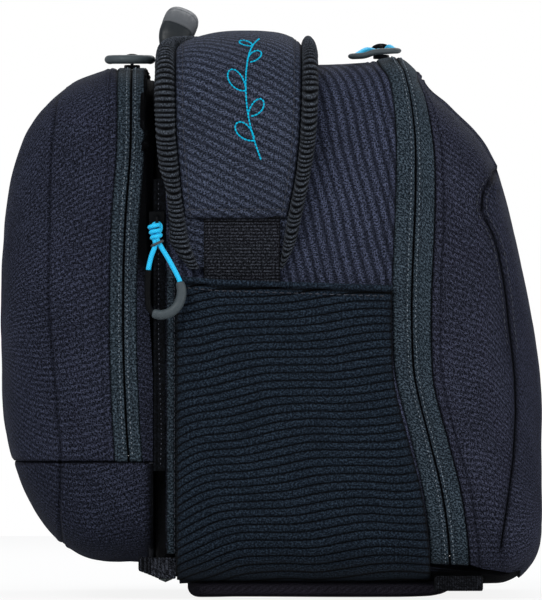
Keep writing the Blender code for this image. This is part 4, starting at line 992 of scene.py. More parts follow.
def rear_pieces():
    """Skins of the rear compartment: its cover, its front wall and its lower panel with the face in front."""
    shares = seam_shares(430)
    back = np.full(len(shares), REAR_ARC_X - REAR_DEPTH)
    back_x = back[0]
    # Cover, from the zip backwards
    edge = zip_edge(rear_point, REAR_LINE, shares, -REAR_HALF)
    x = edge[:, None] + (back - edge)[:, None] * (1 - (1 - dense_shares(120, 2.0)) ** 1.8)
    grid = form_grid(rear_point, x, shares)
    grid = cap_rings(grid, back_x, BACK_RINGS, -0.0005, (back_x, 0.0, 0.135))
    across = lengths(grid, 1)
    relief, shade = rear_relief(grid, 9)
    relief = relief * clamp(across / 0.004) - 0.0007 * bell(across, 0.0008)
    relief += seam_groove(across, COVER_SEAM, 0.0004)
    relief[:, -BACK_RINGS - 1:] *= np.linspace(1, 0, BACK_RINGS + 1)
    # Painted shade at the zip's edge and along the cover's seam
    shade += 0.7 * bell(across, 0.0006) + 0.3 * bell(across - COVER_SEAM, 0.0005)
    rear_skin("rear_cover", grid, relief, shade, "rear_cover_body", True, True)
    # Front wall, from the zip forwards, with its edge turned in towards the gap
    edge = zip_edge(rear_point, REAR_LINE, shares, REAR_HALF)
    height = rear_point(edge, shares)[:, 2]
    front = np.interp(height, *REAR_EDGE)
    grid = skin_grid(rear_point, shares, edge, front, WALL_COLUMNS, 2.0, 1.0)
    rim = grid[:, -1]
    turned = []
    for t in np.linspace(0.15, 1, 6):
        ring = rim.copy()
        ring[:, 0] = rim[:, 0] + (REAR_FRONT_X - rim[:, 0]) * (1 - math.cos(t * math.pi / 2))
        ring[:, 1:] = rim[:, 1:] + (np.array((0, 0.15)) - rim[:, 1:]) * 0.05 * math.sin(t * math.pi / 2)
        turned.append(ring[:, None])
    grid = np.concatenate([grid, *turned], 1)
    grid = cap_rings(grid, REAR_FRONT_X, 8, 0.0, (REAR_FRONT_X, 0.0, 0.15))
    grid[..., 2] -= 0.0017 * clamp((grid[..., 2] - 0.2600) / 0.004)  # leaves room for the lying puller
    relief = soft_relief(grid, 0.0004, 0.0002, 12)
    relief[:, WALL_COLUMNS:] *= 0
    # Painted shade where the wall turns in to the gap: darker upwards and towards its edge, and dark all over
    # the turned-in part
    shade = np.interp(grid[..., 2], (0.150, 0.172), (0.25, 1.0)) + np.linspace(0, 0.4, grid.shape[1])
    shade[:, WALL_COLUMNS:] = 0.9
    rear_skin("rear_front_wall", grid, relief, shade, "rear_compartment_body", True, False)
    # Lower panel, under the level seam
    x = np.concatenate([np.linspace(REAR_FRONT_X, REAR_ARC_X, 40)[:-1],
                        REAR_ARC_X - REAR_DEPTH * np.sin(np.linspace(0.0, math.pi / 2, 110))])
    grid = form_grid(rear_point, x, shares)
    grid = cap_rings(grid, back_x, BACK_RINGS, -0.0005, (back_x, 0.0, 0.135))
    relief, shade = rear_relief(grid, 21)
    near = np.abs(grid[..., 1]) > REAR_SIDE_Y
    relief += np.where(near, 0.0015 * bell(distance_to(grid, LOWER_FOLD), 0.0035), 0.0)
    # Darker by 0.15 all over, and painted shade at its front towards the gap
    shade += 0.15 + 0.8 * clamp((grid[..., 0] + 0.0640) / 0.004)
    relief[:, -BACK_RINGS - 1:] *= np.linspace(1, 0, BACK_RINGS + 1)
    relief[:, 0] = 0
    rear_skin("rear_lower_panel", grid, relief, shade, "rear_compartment_body", False, True)
    # Floor rim of the front face under the seam
    ring = rear_point(REAR_FRONT_X, shares)
    face = cap_rings(ring[:, None], REAR_FRONT_X, 10, 0.0, (REAR_FRONT_X, 0.0, 0.06))
    body = "rear_compartment_body"
    wall = grid_object("rear_lower_face", face, INNER_CLOTH, body, thickness=0, closed=True)
    cut_at(wall, REAR_SEAM_Z - 0.0004, False)
    thicken(wall, SKIN)


def inset(ring, distance):
    """Points of a section moved in towards its middle, square to its line."""
    along = np.gradient(ring, axis=0)
    inward = xyz(0, -along[:, 2], along[:, 1])
    inward = directions(inward)
    middle = ring.mean(0) * (1, 0, 0) + np.array((0, 0, 0.14))
    turn = np.sign(((middle - ring) * inward).sum(1, keepdims=True))
    return ring + inward * turn * distance


def double_sheet(outer, inner):
    """Rings round a flat piece whose two faces are given as grids."""
    return np.concatenate([outer, inner[:, ::-1]], 1)


FOLD_REACH = 0.0060
FOLD_DEPTHS = (SKIN + 0.0009, SKIN + 0.0016)
LINING_SHARES = (0.112, 0.20)
LINING_X = (-0.0449, -0.0441)
LINING_DEPTHS = np.linspace(0.0012, 0.0130, 8)


def front_fold():
    """Strip of cloth inside the toe that joins the front cover to the bag along its hinge line."""
    low = share_at_height(main_point, FRONT_HINGE_X, FRONT_RIM_Z + 0.0010)
    shares = np.linspace(-low, low, 240)
    across = np.linspace(FRONT_HINGE_X - FOLD_REACH, FRONT_HINGE_X + FOLD_REACH, 25)
    lines = [main_point(x, np.mod(shares, 1)) for x in across]
    sheets = [np.stack([inset(line, depth) for line in lines], 1) for depth in FOLD_DEPTHS]
    obj = closed_tube("front_fold_strip", double_sheet(*sheets), INNER_CLOTH, None)
    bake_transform(obj)


def corner_linings():
    """Gussets that close the lower corners between the skin and the back panel."""
    for side, sign in SIDES:
        shares = np.linspace(*LINING_SHARES, 120)
        shares = shares if sign < 0 else 1 - shares
        lines = [main_point(x, shares) for x in LINING_X]
        sheets = [np.stack([inset(line, depth) for depth in LINING_DEPTHS], 1) for line in lines]
        closed_tube(f"corner_lining_{side}", double_sheet(*sheets), INNER_CLOTH, "main_body")


# Shoulder strap


STRAP_X = -0.0145
# Stations in mm, up the side by height and along the top by distance from the middle: outer and inner edge
# of the left roll, inner and outer edge of the right roll, height of the rolls and of the crown
PAD_STATIONS = (
    ("z", 165.0, -38.5, -34.5, 3.5, 4.5, 3.0, 3.2),
    ("z", 169.0, -45.0, -37.5, 4.5, 8.5, 3.8, 3.4),
    ("z", 177.5, -51.0, -41.0, 6.0, 12.5, 5.4, 4.4),
    ("z", 190.0, -53.5, -43.0, 8.0, 15.0, 7.4, 9.0),
    ("z", 204.0, -55.0, -45.0, 11.0, 18.0, 9.4, 12.2),
    ("z", 216.5, -56.0, -46.0, 13.0, 20.5, 11.4, 14.2),
    ("z", 230.0, -57.5, -47.5, 14.5, 22.5, 13.0, 15.5),
    ("z", 248.5, -58.3, -48.0, 15.5, 23.7, 13.8, 16.4),
    ("y", 150.0, -57.5, -48.0, 15.5, 23.3, 14.0, 17.2),
    ("y", 112.0, -46.5, -38.5, 15.0, 22.0, 14.0, 17.4),
    ("y", 85.0, -41.3, -34.0, 15.5, 22.0, 14.0, 17.4),
    ("y", 0.0, -41.3, -34.0, 15.5, 22.0, 14.0, 17.4),
)


def share_at_width(y):
    """Share on the near side of the top at a distance from the bag's middle."""
    spots = np.linspace(0.3, 0.5, 3000)
    widths = main_point(STRAP_X, spots)[:, 1]
    return float(np.interp(-y, widths, spots))


def strap_stations(rows, top=None):
    """Shares, points, outward directions and the station values at rows along the strap, end to end."""
    spots = []
    for kind, place, *_ in PAD_STATIONS:
        place *= MM
        spots.append(share_at_height(main_point, STRAP_X, place) if kind == "z" else share_at_width(place))
    values = np.array([station[2:] for station in PAD_STATIONS]) * MM
    spots = np.array([*spots, *[1 - spot for spot in spots[-2::-1]]])
    values = np.concatenate([values, values[-2::-1]])
    low = spots[0] if top is None else share_at_height(main_point, STRAP_X, top)
    shares = np.linspace(low, 1 - low, 2400)
    path = main_point(STRAP_X, shares)
    travelled = distances(path)
    even = np.interp(np.linspace(0, travelled[-1], rows), travelled, shares)
    path = main_point(STRAP_X, even)
    along = np.gradient(path, axis=0)
    along = directions(along)
    outward = np.cross((1.0, 0.0, 0.0), along)
    found = np.stack([np.interp(even, spots, values[:, k]) for k in range(values.shape[1])], -1)
    kernel = np.hanning(2 * (rows // 40) + 1)
    kernel /= kernel.sum()
    for k in range(found.shape[1]):
        padded = np.pad(found[:, k], len(kernel) // 2, mode="edge")
        found[:, k] = np.convolve(padded, kernel, mode="valid")
    return path, outward, found, np.linspace(0, travelled[-1], rows)


def strap_back():
    """Mesh back layer of the pad: a cloth middle between two rolled edges with ridges across them."""
    rows = 1900
    path, outward, found, along = strap_stations(rows)
    left_out, left_in, right_in, right_out, roll, _ = found.T
    beside_slider = clamp((path[:, 2] - 0.179) / 0.008) * clamp((0.2155 - path[:, 2]) / 0.010)
    left_out = left_out + 0.0024 * beside_slider
    turns = np.radians(np.linspace(-90, 172, 25))
    rings = []
    for sign, outer, inner in ((-1, left_out, left_in), (1, right_out, right_in)):
        wide = np.abs(inner - outer) / 2
        middle = (inner + outer) / 2
        phase = np.abs(np.sin(turns))[None, :] * (0.9 if sign > 0 else 0.45) + np.sin(turns)[None, :] * 0.3
        drift = 0.35 * np.sin(along[:, None] * 95 + sign)
        places = xyz(along, sign, 0)
        uneven = wave_noise(places, 0.008, 61)[:, None]
        ridge = np.sin(2 * np.pi * (along[:, None] / 0.0024 + phase + drift + 0.8 * uneven))
        swell = 1 + 0.050 * ridge * (1 + 0.9 * wave_noise(places, 0.004, 63)[:, None])
        x = middle[:, None] + sign * np.cos(turns)[None, :] * wide[:, None] * swell
        d = roll[:, None] / 2 * (1 + np.sin(turns)[None, :] * swell) + 0.0004
        # Painted shade in the grooves between the ridges, at full strength about halfway round the roll and
        # half elsewhere
        dark = clamp(0.55 - 0.80 * ridge) * np.clip(0.5 + np.cos((turns - 0.9) / 1.3), 0.5, 1)[None, :]
        rings.append((x, d, dark) if sign < 0 else (x[:, ::-1], d[:, ::-1], dark[:, ::-1]))
    (left_x, left_d, left_shade), (right_x, right_d, right_shade) = rings
    t = np.linspace(0.06, 0.94, 12)[None, :]
    middle_x = left_x[:, -1:] + (right_x[:, :1] - left_x[:, -1:]) * t
    middle_d = left_d[:, -1:] + (right_d[:, :1] - left_d[:, -1:]) * t + 0.0004 * np.sin(t * np.pi)
    # Painted shade where the middle meets the rolls
    middle_shade = 0.5 * bell(np.minimum(t, 1 - t), 0.08) + 0 * middle_x
    under_x = right_x[:, -1:] + (left_x[:, :1] - right_x[:, -1:]) * np.linspace(0.1, 0.9, 6)[None, :]
    under_d = np.full_like(under_x, 0.0004)
    x = np.concatenate([left_x, middle_x, right_x, under_x], 1)
    d = np.concatenate([left_d, middle_d, right_d, under_d], 1)
    dark = np.concatenate([left_shade, middle_shade, right_shade, 0 * under_x], 1)
    rings = path[:, None] + outward[:, None] * d[..., None]
    rings[..., 0] = x
    obj = closed_tube("strap_back_pad", rings, ROLL_MESH, "main_body")
    paint_shade(obj, dark)
    obj.data.materials.append(PAD_CLOTH)
    sides = x.shape[1]
    middle = range(left_x.shape[1] - 1, left_x.shape[1] + middle_x.shape[1])
    index = np.zeros(len(obj.data.polygons), int)
    for k in middle:
        index[k:(rows - 1) * sides:sides] = 1
    obj.data.polygons.foreach_set("material_index", index)
    stand_for(obj, "strap_pad_back")


# Distance of the stitches from the sides and from the ends of the pad's front layer
PAD_SEAM = 0.0030
PAD_HEM = 0.0050


def strap_front():
    """Cloth front layer of the pad, crowned between the rolls, with folded ends and a motif."""
    rows = 520
    path, outward, found, along = strap_stations(rows, top=0.190)
    _, left_in, right_in, _, roll, crown = found.T
    dense = np.tanh(np.linspace(-2.6, 2.6, 70)) / math.tanh(2.6) * 0.999
    v = np.concatenate([[-1.0], dense, [1.0]])[None, :]
    x = (left_in + right_in)[:, None] / 2 + (right_in - left_in)[:, None] / 2 * v
    edge = roll * 0.70
    shape = (1 - np.abs(v) ** 3.2) ** 0.8
    d = edge[:, None] + (crown - edge)[:, None] * shape
    from_side = (1 - np.abs(v)) * (right_in - left_in)[:, None] / 2
    d = d + seam_groove(from_side, PAD_SEAM, 0.0005, 0.0007)
    end = np.minimum(along, along[-1] - along)[:, None]
    d = d - 0.0020 * bell(end, 0.0016) - 0.0006 * bell(end - PAD_HEM, 0.0008)
    points = path[:, None] + outward[:, None] * d[..., None]
    points[..., 0] = x
    noise_at = points.reshape(-1, 3)
    waves = 0.0005 * wave_noise(noise_at, 0.035, 31) + 0.00012 * wave_noise(noise_at, 0.010, 33)
    points = points + outward[:, None] * (waves.reshape(d.shape) * shape)[..., None]
    obj = grid_object("strap_front_pad", points, PAD_CLOTH, "main_body", thickness=0.0030)
    # Painted shade along the seams at the sides, at the folded ends and along the hem's stitches
    paint_shade(obj, bell(from_side, 0.0008) + bell(end, 0.0008) + 0.3 * bell(end - PAD_HEM, 0.0006))
    stand_for(obj, "strap_pad_front")
    side = int(np.argmin(np.abs(from_side[rows // 2, :36] - PAD_SEAM)))
    row = int(PAD_HEM / along[-1] * rows)
    threads = [grid_row(points, column, 0.0002) for column in (side, 71 - side)]
    for here in (row, rows - 1 - row):
        threads.append((points[here, 3:-3] + outward[here] * 0.0002, outward[here]))
    stitches("strap_stitches", threads, "main_body", 0.0022, 0.0011, 0.00028)
    embroidery(points, outward, along, x)


# Motif on the near side of the pad: lines of (x, distance along the cloth above the pad's end), in mm
STEM = ((-5.0, 29.0), (-9.0, 40.0), (-12.0, 52.0), (-12.5, 64.0), (-10.0, 76.0), (-5.5, 87.0))
LEAVES = ((0.16, -1, 11.5), (0.34, 1, 9.5), (0.50, -1, 11.0), (0.68, 1, 8.5), (0.84, -1, 8.0))


def leaf(spot, lean, length):
    """Outline of a pointed leaf that grows from a spot of the stem."""
    t = np.linspace(0, 2 * math.pi, 33)
    along = length * (1 - np.cos(t)) / 2
    across = 0.30 * length * np.sin(t) * np.sqrt(np.abs(np.sin(t / 2)))
    return np.stack([spot[0] + along * math.cos(lean) - across * math.sin(lean),
                     spot[1] + along * math.sin(lean) + across * math.cos(lean)], -1)


def motif_lines():
    """The stem and its leaves, as lines of points."""
    lines = [along_curve(STEM, np.linspace(0, 1, 60))]
    for share, side, length in LEAVES:
        spot = along_curve(STEM, np.array((share, share)))[0]
        lines.append(leaf(spot, math.radians(90 - side * 52), length))
    return lines


def embroidery(points, outward, along, x):
    """Lines of close satin stitches that lie on the pad's cloth."""
    paths = []
    for line in motif_lines():
        knots = np.array(line) * MM
        travelled = distances(knots)
        even = np.linspace(0, travelled[-1], max(int(travelled[-1] / 0.0005), 4))
        flat = np.stack([np.interp(even, travelled, knots[:, k]) for k in range(2)], -1)
        rows = np.interp(flat[:, 1], along, np.arange(len(along)))
        found = []
        for (px, _), row in zip(flat, rows):
            low = int(row)
            share = row - low
            first, second = (
                np.array([np.interp(px, x[r], points[r, :, k]) for k in range(3)]) for r in (low, low + 1)
            )
            found.append((first * (1 - share) + second * share, outward[low]))
        path = np.array([spot for spot, _ in found])
        out = np.array([direction for _, direction in found])
        paths.append((path + out * 0.0001, out))
    stitches("strap_motif", paths, "main_body", 0.0017, 0.00008, 0.00046, CYAN_THREAD)


WEB_TOP = 0.1935
WEB_LOW = 0.105
WEB_HALF = 0.019
WEB_RIB = 0.0016
# Height over the bag's side, by distance down from the top
WEB_LIFT = ((0.0062, 0.0054, 0.0042, 0.0016, 0.0010, 0.0010), (0.0, 0.0130, 0.0240, 0.0345, 0.05, 0.09))


def strap_webbing():
    """Ribbed webbing from the pad's end down behind the side pocket."""
    heights = np.linspace(WEB_TOP, WEB_LOW, 330)
    shares = np.array([share_at_height(main_point, STRAP_X, z) for z in heights])
    base = main_point(STRAP_X, shares)
    along = (WEB_TOP - heights)[:, None]
    lift = smooth(*WEB_LIFT, along[:, 0])[:, None]
    v = np.linspace(-1, 1, 40)[None, :]
    rib = 0.00028 * np.abs(np.sin(np.pi * along / WEB_RIB)) ** 0.7
    edge = 0.0009 * clamp((np.abs(v) - 0.93) / 0.07) ** 2
    wavy = 0.0002 * np.sin(along * 160 + v * 1.5)
    d = lift + 0.0009 + rib * (1 - 0.6 * clamp((np.abs(v) - 0.9) / 0.1)) - edge + wavy
    x = STRAP_X + WEB_HALF * v
    grid = xyz(x, base[:, 1:2] - d, base[:, 2:3])
    groove = np.abs(np.cos(np.pi * along / WEB_RIB)) ** 3
    # Painted shade in the grooves between the ribs and at the edges, and a painted shadow at the top, where
    # the webbing comes out from under the pad
    shade = 0.95 * groove + 0.8 * clamp((np.abs(v) - 0.965) / 0.03) + bell(along, 0.0042)
    for obj in side_patch("strap_webbing_band", grid[::-1], WEBBING, "main_body", "strap_webbing", 0.0016):
        paint_shade(obj, shade[::-1])


# Side pocket


def pocket_form(x, z, distance):
    """Points at a distance out from the near side of the bag."""
    shares = np.interp(z, POCKET_HEIGHTS, POCKET_SHARES)
    y = main_point(x.ravel(), shares.ravel())[:, 1].reshape(x.shape)
    return xyz(x, y - distance, z)


POCKET_SHARES = np.linspace(0.10, 0.49, 1500)
POCKET_HEIGHTS = main_point(0.02, POCKET_SHARES)[:, 2]
POCKET_REAR = -0.0472


# Pocket: its height, the pitch and depth of its ribs, and where its rows of stitches run under its lip
POCKET_TOP = 0.1600
POCKET_LOW = 0.0062
RIB_PITCH = 0.0041
RIB_DEPTH = 0.0011
LIP_SEAM = 0.0042


def flat_noise(x, z, scale, seed):
    """Soft noise over a grid of x and z."""
    return wave_noise(xyz(x.ravel(), z.ravel(), 0), scale, seed).reshape(x.shape)


def rib_levels(x, z, run):
    """How many ribs lie under each point: they droop at the rear edge, rise forwards and waver."""
    droop = np.exp(-run / 0.013) * np.interp(z, (0.02, 0.08, 0.13), (0.0085, 0.0060, 0.0018))
    rise = run * np.interp(z, (0.01, 0.07, 0.15), (0.115, 0.135, 0.125)) - run ** 2 * 0.35
    level = z + droop - rise + 0.0011 * np.sin(run * 95 + z * 60) * clamp(run / 0.02)
    return (level + 0.0009 * flat_noise(x, z * 0.4, 0.020, 41)) / RIB_PITCH


def side_pocket():
    """Ribbed stretch pocket with a rolled lip, over the side of the bag."""
    up = dense_shares(400, 2.0, 1.5, 0.05)
    right = line_x(FRONT_LINE, POCKET_LOW + (POCKET_TOP - POCKET_LOW) * up) - FRONT_HALF - 0.0002
    t = dense_shares(240, 2.5, 1.0, 0.06)
    x = POCKET_REAR + (right - POCKET_REAR)[:, None] * t[None, :]
    run = x - POCKET_REAR
    to_right = (right - POCKET_REAR)[:, None] - run
    top_line = 0.1602 - 0.0012 * clamp(run / 0.020) - 0.0036 * clamp(run / 0.110)
    low_line = 0.0092 - 0.0026 * clamp(run / 0.012) - 0.0018 * clamp((run - 0.01) / 0.06)
    low_line = low_line + 0.0040 * clamp((run - 0.108) / 0.020) ** 1.5
    z = low_line + (top_line - low_line) * up[:, None]
    wave = np.abs(np.sin(np.pi * rib_levels(x, z, run)))
    rib = RIB_DEPTH * (wave ** 0.55) - RIB_DEPTH
    edge = clamp(run / 0.004) ** 0.5 * clamp(to_right / 0.004) ** 0.5
    from_low = clamp((z - low_line) / 0.006) ** 0.5
    belly = 0.0052 + 0.0009 * np.sin(np.pi * clamp(run / 0.12)) * np.sin(np.pi * up)[:, None]
    lip = bell(top_line - z, 0.0012)
    distance = 0.0012 + belly * edge * (0.35 + 0.65 * from_low) + rib * edge
    distance = distance + 0.0004 * lip
    grid = pocket_form(x, z, distance)
    # Painted shade in the grooves between the ribs (less on the lip), at the rear and front edges, in a line
    # under the lip and along the foot
    shade = clamp(1.15 - 2.0 * wave) * clamp(1 - lip) + 0.8 * bell(to_right, 0.0009) + 0.6 * bell(run, 0.0010)
    shade += 0.9 * bell(top_line - z - 0.0022, 0.0007) + 0.9 * bell(z - low_line, 0.0012)
    nodes = "pocket_panel pocket_binding"
    for obj in side_patch("pocket_rib_panel", grid, RIBBED, "main_body", nodes, 0.0011):
        paint_shade(obj, shade)
    # Rolled lip along the top
    last = grid[-1]
    turns = np.radians(np.linspace(-60, 250, 11))
    rolled = np.stack([last + np.array((0, -math.cos(a) * 0.0010, math.sin(a) * 0.0011)) for a in turns])
    side_patch("pocket_lip", rolled[::-1], RIBBED, "main_body", "pocket_hem", 0.0004)
    row = int(np.argmin(np.abs(up - (1 - LIP_SEAM / 0.153))))
    thread = grid[row, 6:-6] - np.array((0, 0.0003, 0))
    stitches("pocket_stitches", both_rows([(thread, (0.0, -1.0, 0.0))]), "main_body")


def rear_binding():
    """Woven strip beside the gap, with its folded edge stitched down."""
    z = np.linspace(0.0225, 0.1655, 240)
    v = np.linspace(0, 1, 26)[None, :]
    x = np.repeat(MAIN_REAR_X + 0.0001 + 0.0056 * v, len(z), 0)
    z = np.repeat(z[:, None], v.shape[1], 1)
    d = 0.0006 + 0.0013 * (np.sin(np.pi * np.clip(v, 0.02, 0.98)) ** 0.5)
    d = d - 0.0005 * bell(v - 0.72, 0.06) + 0.0002 * flat_noise(x, z, 0.012, 51)
    grid = pocket_form(x, z, d)
    # Darker by 0.3 all over, with painted shade along the folded edge and at both edges
    shade = 0.30 + 0.9 * bell(v - 0.80, 0.06) + 0.8 * bell(v, 0.10) + 0.9 * bell(1 - v, 0.08)
    for obj in side_patch("rear_edge_strip", grid, TAPE, "main_body", "rear_binding", 0.0010):
        paint_shade(obj, shade + 0 * x)
    rows = both_rows([grid_row(grid, 19, 0.0001)])
    stitches("rear_edge_stitches", rows, "main_body", 0.0018, 0.0012, 0.00025)


# Webbing loops, base


LOOP_THICKNESS = 0.0013


def band_loop(name, outline, z0, z1, cut, rib_pitch, node):
    """Webbing bent along an outline of (x, y) points, upright from z0 to z1, cut away at its low x end."""
    curve = along_curve(outline, np.linspace(0, 1, 260))
    travelled = distances(curve)
    tangent = np.gradient(curve, axis=0)
    tangent = directions(tangent)
    normal = np.stack([-tangent[:, 1], tangent[:, 0]], -1)
    wave = np.sin(2 * np.pi * travelled / rib_pitch)
    t = np.linspace(0, 1, 16)
    soft = 0.0004 * clamp(np.abs(2 * t - 1) - 0.8) / 0.2
    grid = np.zeros((len(curve), len(t), 3))
    for k, share in enumerate(t):
        at = curve + normal * (0.00018 * wave + soft[k])[:, None]
        foot = z0 + cut * clamp(1 - (at[:, 0] - at[:, 0].min()) / 0.0095)
        grid[:, k] = xyz(at[:, 0], at[:, 1], foot + (z1 - foot) * share)
    obj = grid_object(name, grid, WEBBING, "main_body", thickness=0)
    thicken(obj, LOOP_THICKNESS, 0)
    # Painted shade in the grooves between the ribs
    paint_shade(obj, clamp(0.35 - 0.6 * wave)[:, None] + 0 * grid[..., 0])
    return stand_for(obj, node)


BASE_HALF_WIDTH = 0.158
# Stations of the base: x in mm, share of its half width, half height and middle height in mm
BASE_STATIONS = (
    (-42.0, 0.62, 1.6, 5.6), (-41.0, 0.80, 3.0, 4.8), (-38.0, 0.95, 4.0, 4.4), (-32.0, 1.0, 4.2, 4.4),
    (-17.0, 1.0, 4.2, 4.6), (50.0, 1.0, 4.2, 4.4), (80.0, 1.0, 4.0, 4.8), (88.0, 0.97, 3.0, 5.8),
    (91.0, 0.85, 1.8, 6.4),
)


def base_skin():
    """Cloth-covered base under the bag, with rounded edges and a rounded rear end."""
    turns = around(90)
    round_y = squared(np.cos(turns), 0.12)
    round_z = squared(np.sin(turns), 0.45)
    rings = []
    for x, wide, high, middle in along_curve(BASE_STATIONS, np.linspace(0, 1, 120)):
        x += 0.25 * math.sin(x * 0.9)
        height = (middle + high * round_z) * MM
        rings.append(xyz(x * MM, BASE_HALF_WIDTH * wide * round_y, height))
    obj = closed_tube("base_skin", np.array(rings), BASE_CLOTH, "main_body")
    stand_for(obj, "base_board")


# Node, pitch of its ribs, reach of its bends, and how much is cut off its end
LOOPS = (("corner_tab", 0.0019, 0.0030, 0.0040), ("zip_end_tab", 0.0012, 0.0016, 0.0))


def webbing_loops():
    """Loop round the frame's foot, and the folded tab at the end of the front zip, on both sides."""
    for side, sign in SIDES:
        for node, rib_pitch, reach, cut in LOOPS:
            low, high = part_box(f"{node}_{side}")
            inner, outer = (high[1], low[1]) if sign < 0 else (low[1], high[1])
            out = 0.0009 * sign
            y0, y1 = outer - out, inner + out
            x0, x1 = low[0] + 0.0009, high[0] - 0.0004
            bend = reach * sign
            if node == "corner_tab":
                outline = (
                    (x1, y0 - bend * 0.1), (x0 + 0.008, y0), (x0 + 0.0015, y0 - bend * 0.6),
                    (x0, (y0 + y1) / 2),
                    (x0 + 0.0015, y1 + bend * 0.6), (x0 + 0.008, y1), (x1, y1 + bend * 0.1),
                )
            else:
                outline = (
                    (x0, y1), (x0 + 0.0004, y0 - bend), (x0 + 0.0020, y0),
                    (x1 - 0.0030, y0), (x1 - 0.0006, y0 - bend), (x1 - 0.0002, y1),
                )
            z0, z1 = low[2] + 0.0001, high[2] - 0.0001
            band_loop(f"{node}_band_{side}", outline, z0, z1, cut, rib_pitch, f"{node}_{side}")


# Sliders' cords and sleeves


# In mm from the slider's hole: the sleeve, the cord from one end of the sleeve to the other, the thin black
# tail over the cord's lower leg (painted shade for that leg's shadow in the gap)
HANGING_SLEEVE = (
    (11.5, -29.5, 6.2), (12.4, -34.5, 6.8), (10.9, -40.4, 7.3), (7.3, -44.3, 7.6), (2.5, -45.9, 7.6),
    (-2.2, -45.2, 7.2),
)
HANGING_CORD = (
    (11.9, -32.0, 6.5), (11.2, -28.5, 6.1), (6.6, -19.5, 5.0), (1.6, -11.0, 4.2), (-0.2, -6.5, 3.6),
    (1.5, -3.4, 1.0), (1.3, -0.8, 0.0), (-1.3, -0.8, 0.0), (-1.7, -3.4, 1.0), (-1.6, -6.5, 3.0),
    (-0.8, -10.6, 4.0), (-3.0, -17.3, 4.6), (-4.4, -24.3, 4.6), (-4.5, -29.0, 4.6),
)
HANGING_SHADOW_TAIL = (
    (-4.3, -23.5, 4.6), (-4.6, -30.0, 4.8), (-4.6, -37.0, 5.6), (-3.9, -42.5, 6.6), (-1.4, -45.4, 7.3),
)
REAR_SLEEVE = (
    (-10.2, -30.0, 0.0), (-11.2, -36.0, 0.3), (-9.8, -42.0, 0.3), (-5.2, -45.4, 0.3), (-0.5, -46.2, 0.3),
    (4.3, -45.4, 0.3), (8.3, -42.0, 0.3), (9.6, -36.0, 0.3), (8.8, -30.0, 0.0),
)
FRONT_SLEEVE = (
    (-13.5, -29.0, -3.0), (-14.5, -35.0, -3.2), (-13.0, -41.0, -3.2), (-8.5, -45.0, -2.9),
    (-3.5, -46.2, -1.3), (1.5, -45.0, -0.8), (5.5, -41.0, -0.5), (7.5, -35.0, -0.4), (7.2, -29.0, -0.4),
)
# Pullers that lie on top: node prefix, sleeve, rise of the cord's crown in mm, and how flat the sleeve is
LYING_PULLERS = (("front", FRONT_SLEEVE, 2.0, 0.62), ("rear", REAR_SLEEVE, 0.8, 0.90))
GAP_SLIDER = (-0.0570, 0.188)
CORD_RADIUS = 0.00125
SHADOW_TAIL_RADIUS = 0.0016
KNOT_RADIUS = 0.00105
CLAMP_RADIUS = 0.0007
HOLE_RISE = 4.15


def lying_cord(sleeve, crown):
    """Cord from inside one end of a lying sleeve, through the slider's hole, to inside its other end."""
    sleeve = np.array(sleeve, float)
    first, last = sleeve[0], sleeve[-1]
    rise = np.array((0, 0, crown))
    return (
        (first + sleeve[1]) / 2, first, first * 0.55 + rise, (-1.95, -3.25, first[2] * 0.15), (-1.4, -0.8, 0),
        (1.4, -0.8, 0), (1.95, -3.25, last[2] * 0.15), last * 0.55 + rise, last, (last + sleeve[-2]) / 2,
    )


def puller(prefix, side, place, sleeve_points, cord_points, body, flip, knotted, flat=0.96):
    """Braided cord through the slider, and the moulded sleeve that holds both of its ends."""
    level = place.to_3x3() @ Vector((0, 0, 1))

    def placed(points):
        points = np.array(points, float) * (flip, 1, 1) * MM
        return np.array([place @ Vector(point) for point in points])

    def tube(piece, path, sizes, sides, material, up=level):
        return closed_tube(f"{prefix}_{piece}{side}", sweep_rings(path, sizes, sides, up), material, body)

    share = np.linspace(0, 1, 70)
    ends = clamp(np.minimum(share, 1 - share) / 0.05)
    size = 0.0017 + 0.0006 * ends ** 0.5 + 0.0002 * np.sin(share * np.pi)
    sleeve = along_curve(placed(sleeve_points), share)
    made = tube("sleeve", sleeve, np.stack([size, size * flat], -1), 20, SLEEVE_PLASTIC)
    stand_for(made, f"{prefix}_puller_sleeve{side}")
    cord = along_curve(placed(cord_points), np.linspace(0, 1, 130))
    stand_for(tube("cord", cord, CORD_RADIUS, 14, CORD), f"{prefix}_puller_cord{side}")
    if knotted:
        # Black tail over the cord's lower leg: painted shade, dark where the leg hangs in the gap's shadow
        tail = along_curve(placed(HANGING_SHADOW_TAIL), np.linspace(0, 1, 40))
        tube("tail", tail, SHADOW_TAIL_RADIUS, 12, BLACK_PLASTIC)
        turns = np.linspace(0, 5.6 * np.pi, 110)
        lean = turns / turns[-1]
        x, z = -1.6 + 1.6 * lean + 2.3 * np.cos(turns), 2.2 + lean + 2.0 * np.sin(turns)
        tube("knot", placed(xyz(x, -0.8 - 7.4 * lean, z)), KNOT_RADIUS, 12, CORD)
        turns = np.linspace(0, 2 * np.pi, 49)
        x, y = 0.2 + 2.6 * np.cos(turns), -10.2 + 1.2 * np.cos(turns)
        ring = placed(xyz(x, y, 3.8 + 2.2 * np.sin(turns)))
        tube("clamp", ring, CLAMP_RADIUS, 10, SLEEVE_PLASTIC, place.to_3x3() @ Vector((0, 1, 0)))


def slider_bridge(name, spot, body):
    """Bowed bar over a slider, which the cord runs under."""
    turns = np.linspace(0, np.pi, 30)
    bar = xyz(4.4 * np.cos(turns), 0, 2.9 * np.sin(turns)) * MM + np.array(spot)
    sizes = np.stack([0.0013 + 0 * turns, 0.0008 + 0.0003 * np.sin(turns)], -1)
    return closed_tube(name, sweep_rings(bar, sizes, 14, (0, -1, 0)), BLACK_PLASTIC, body)


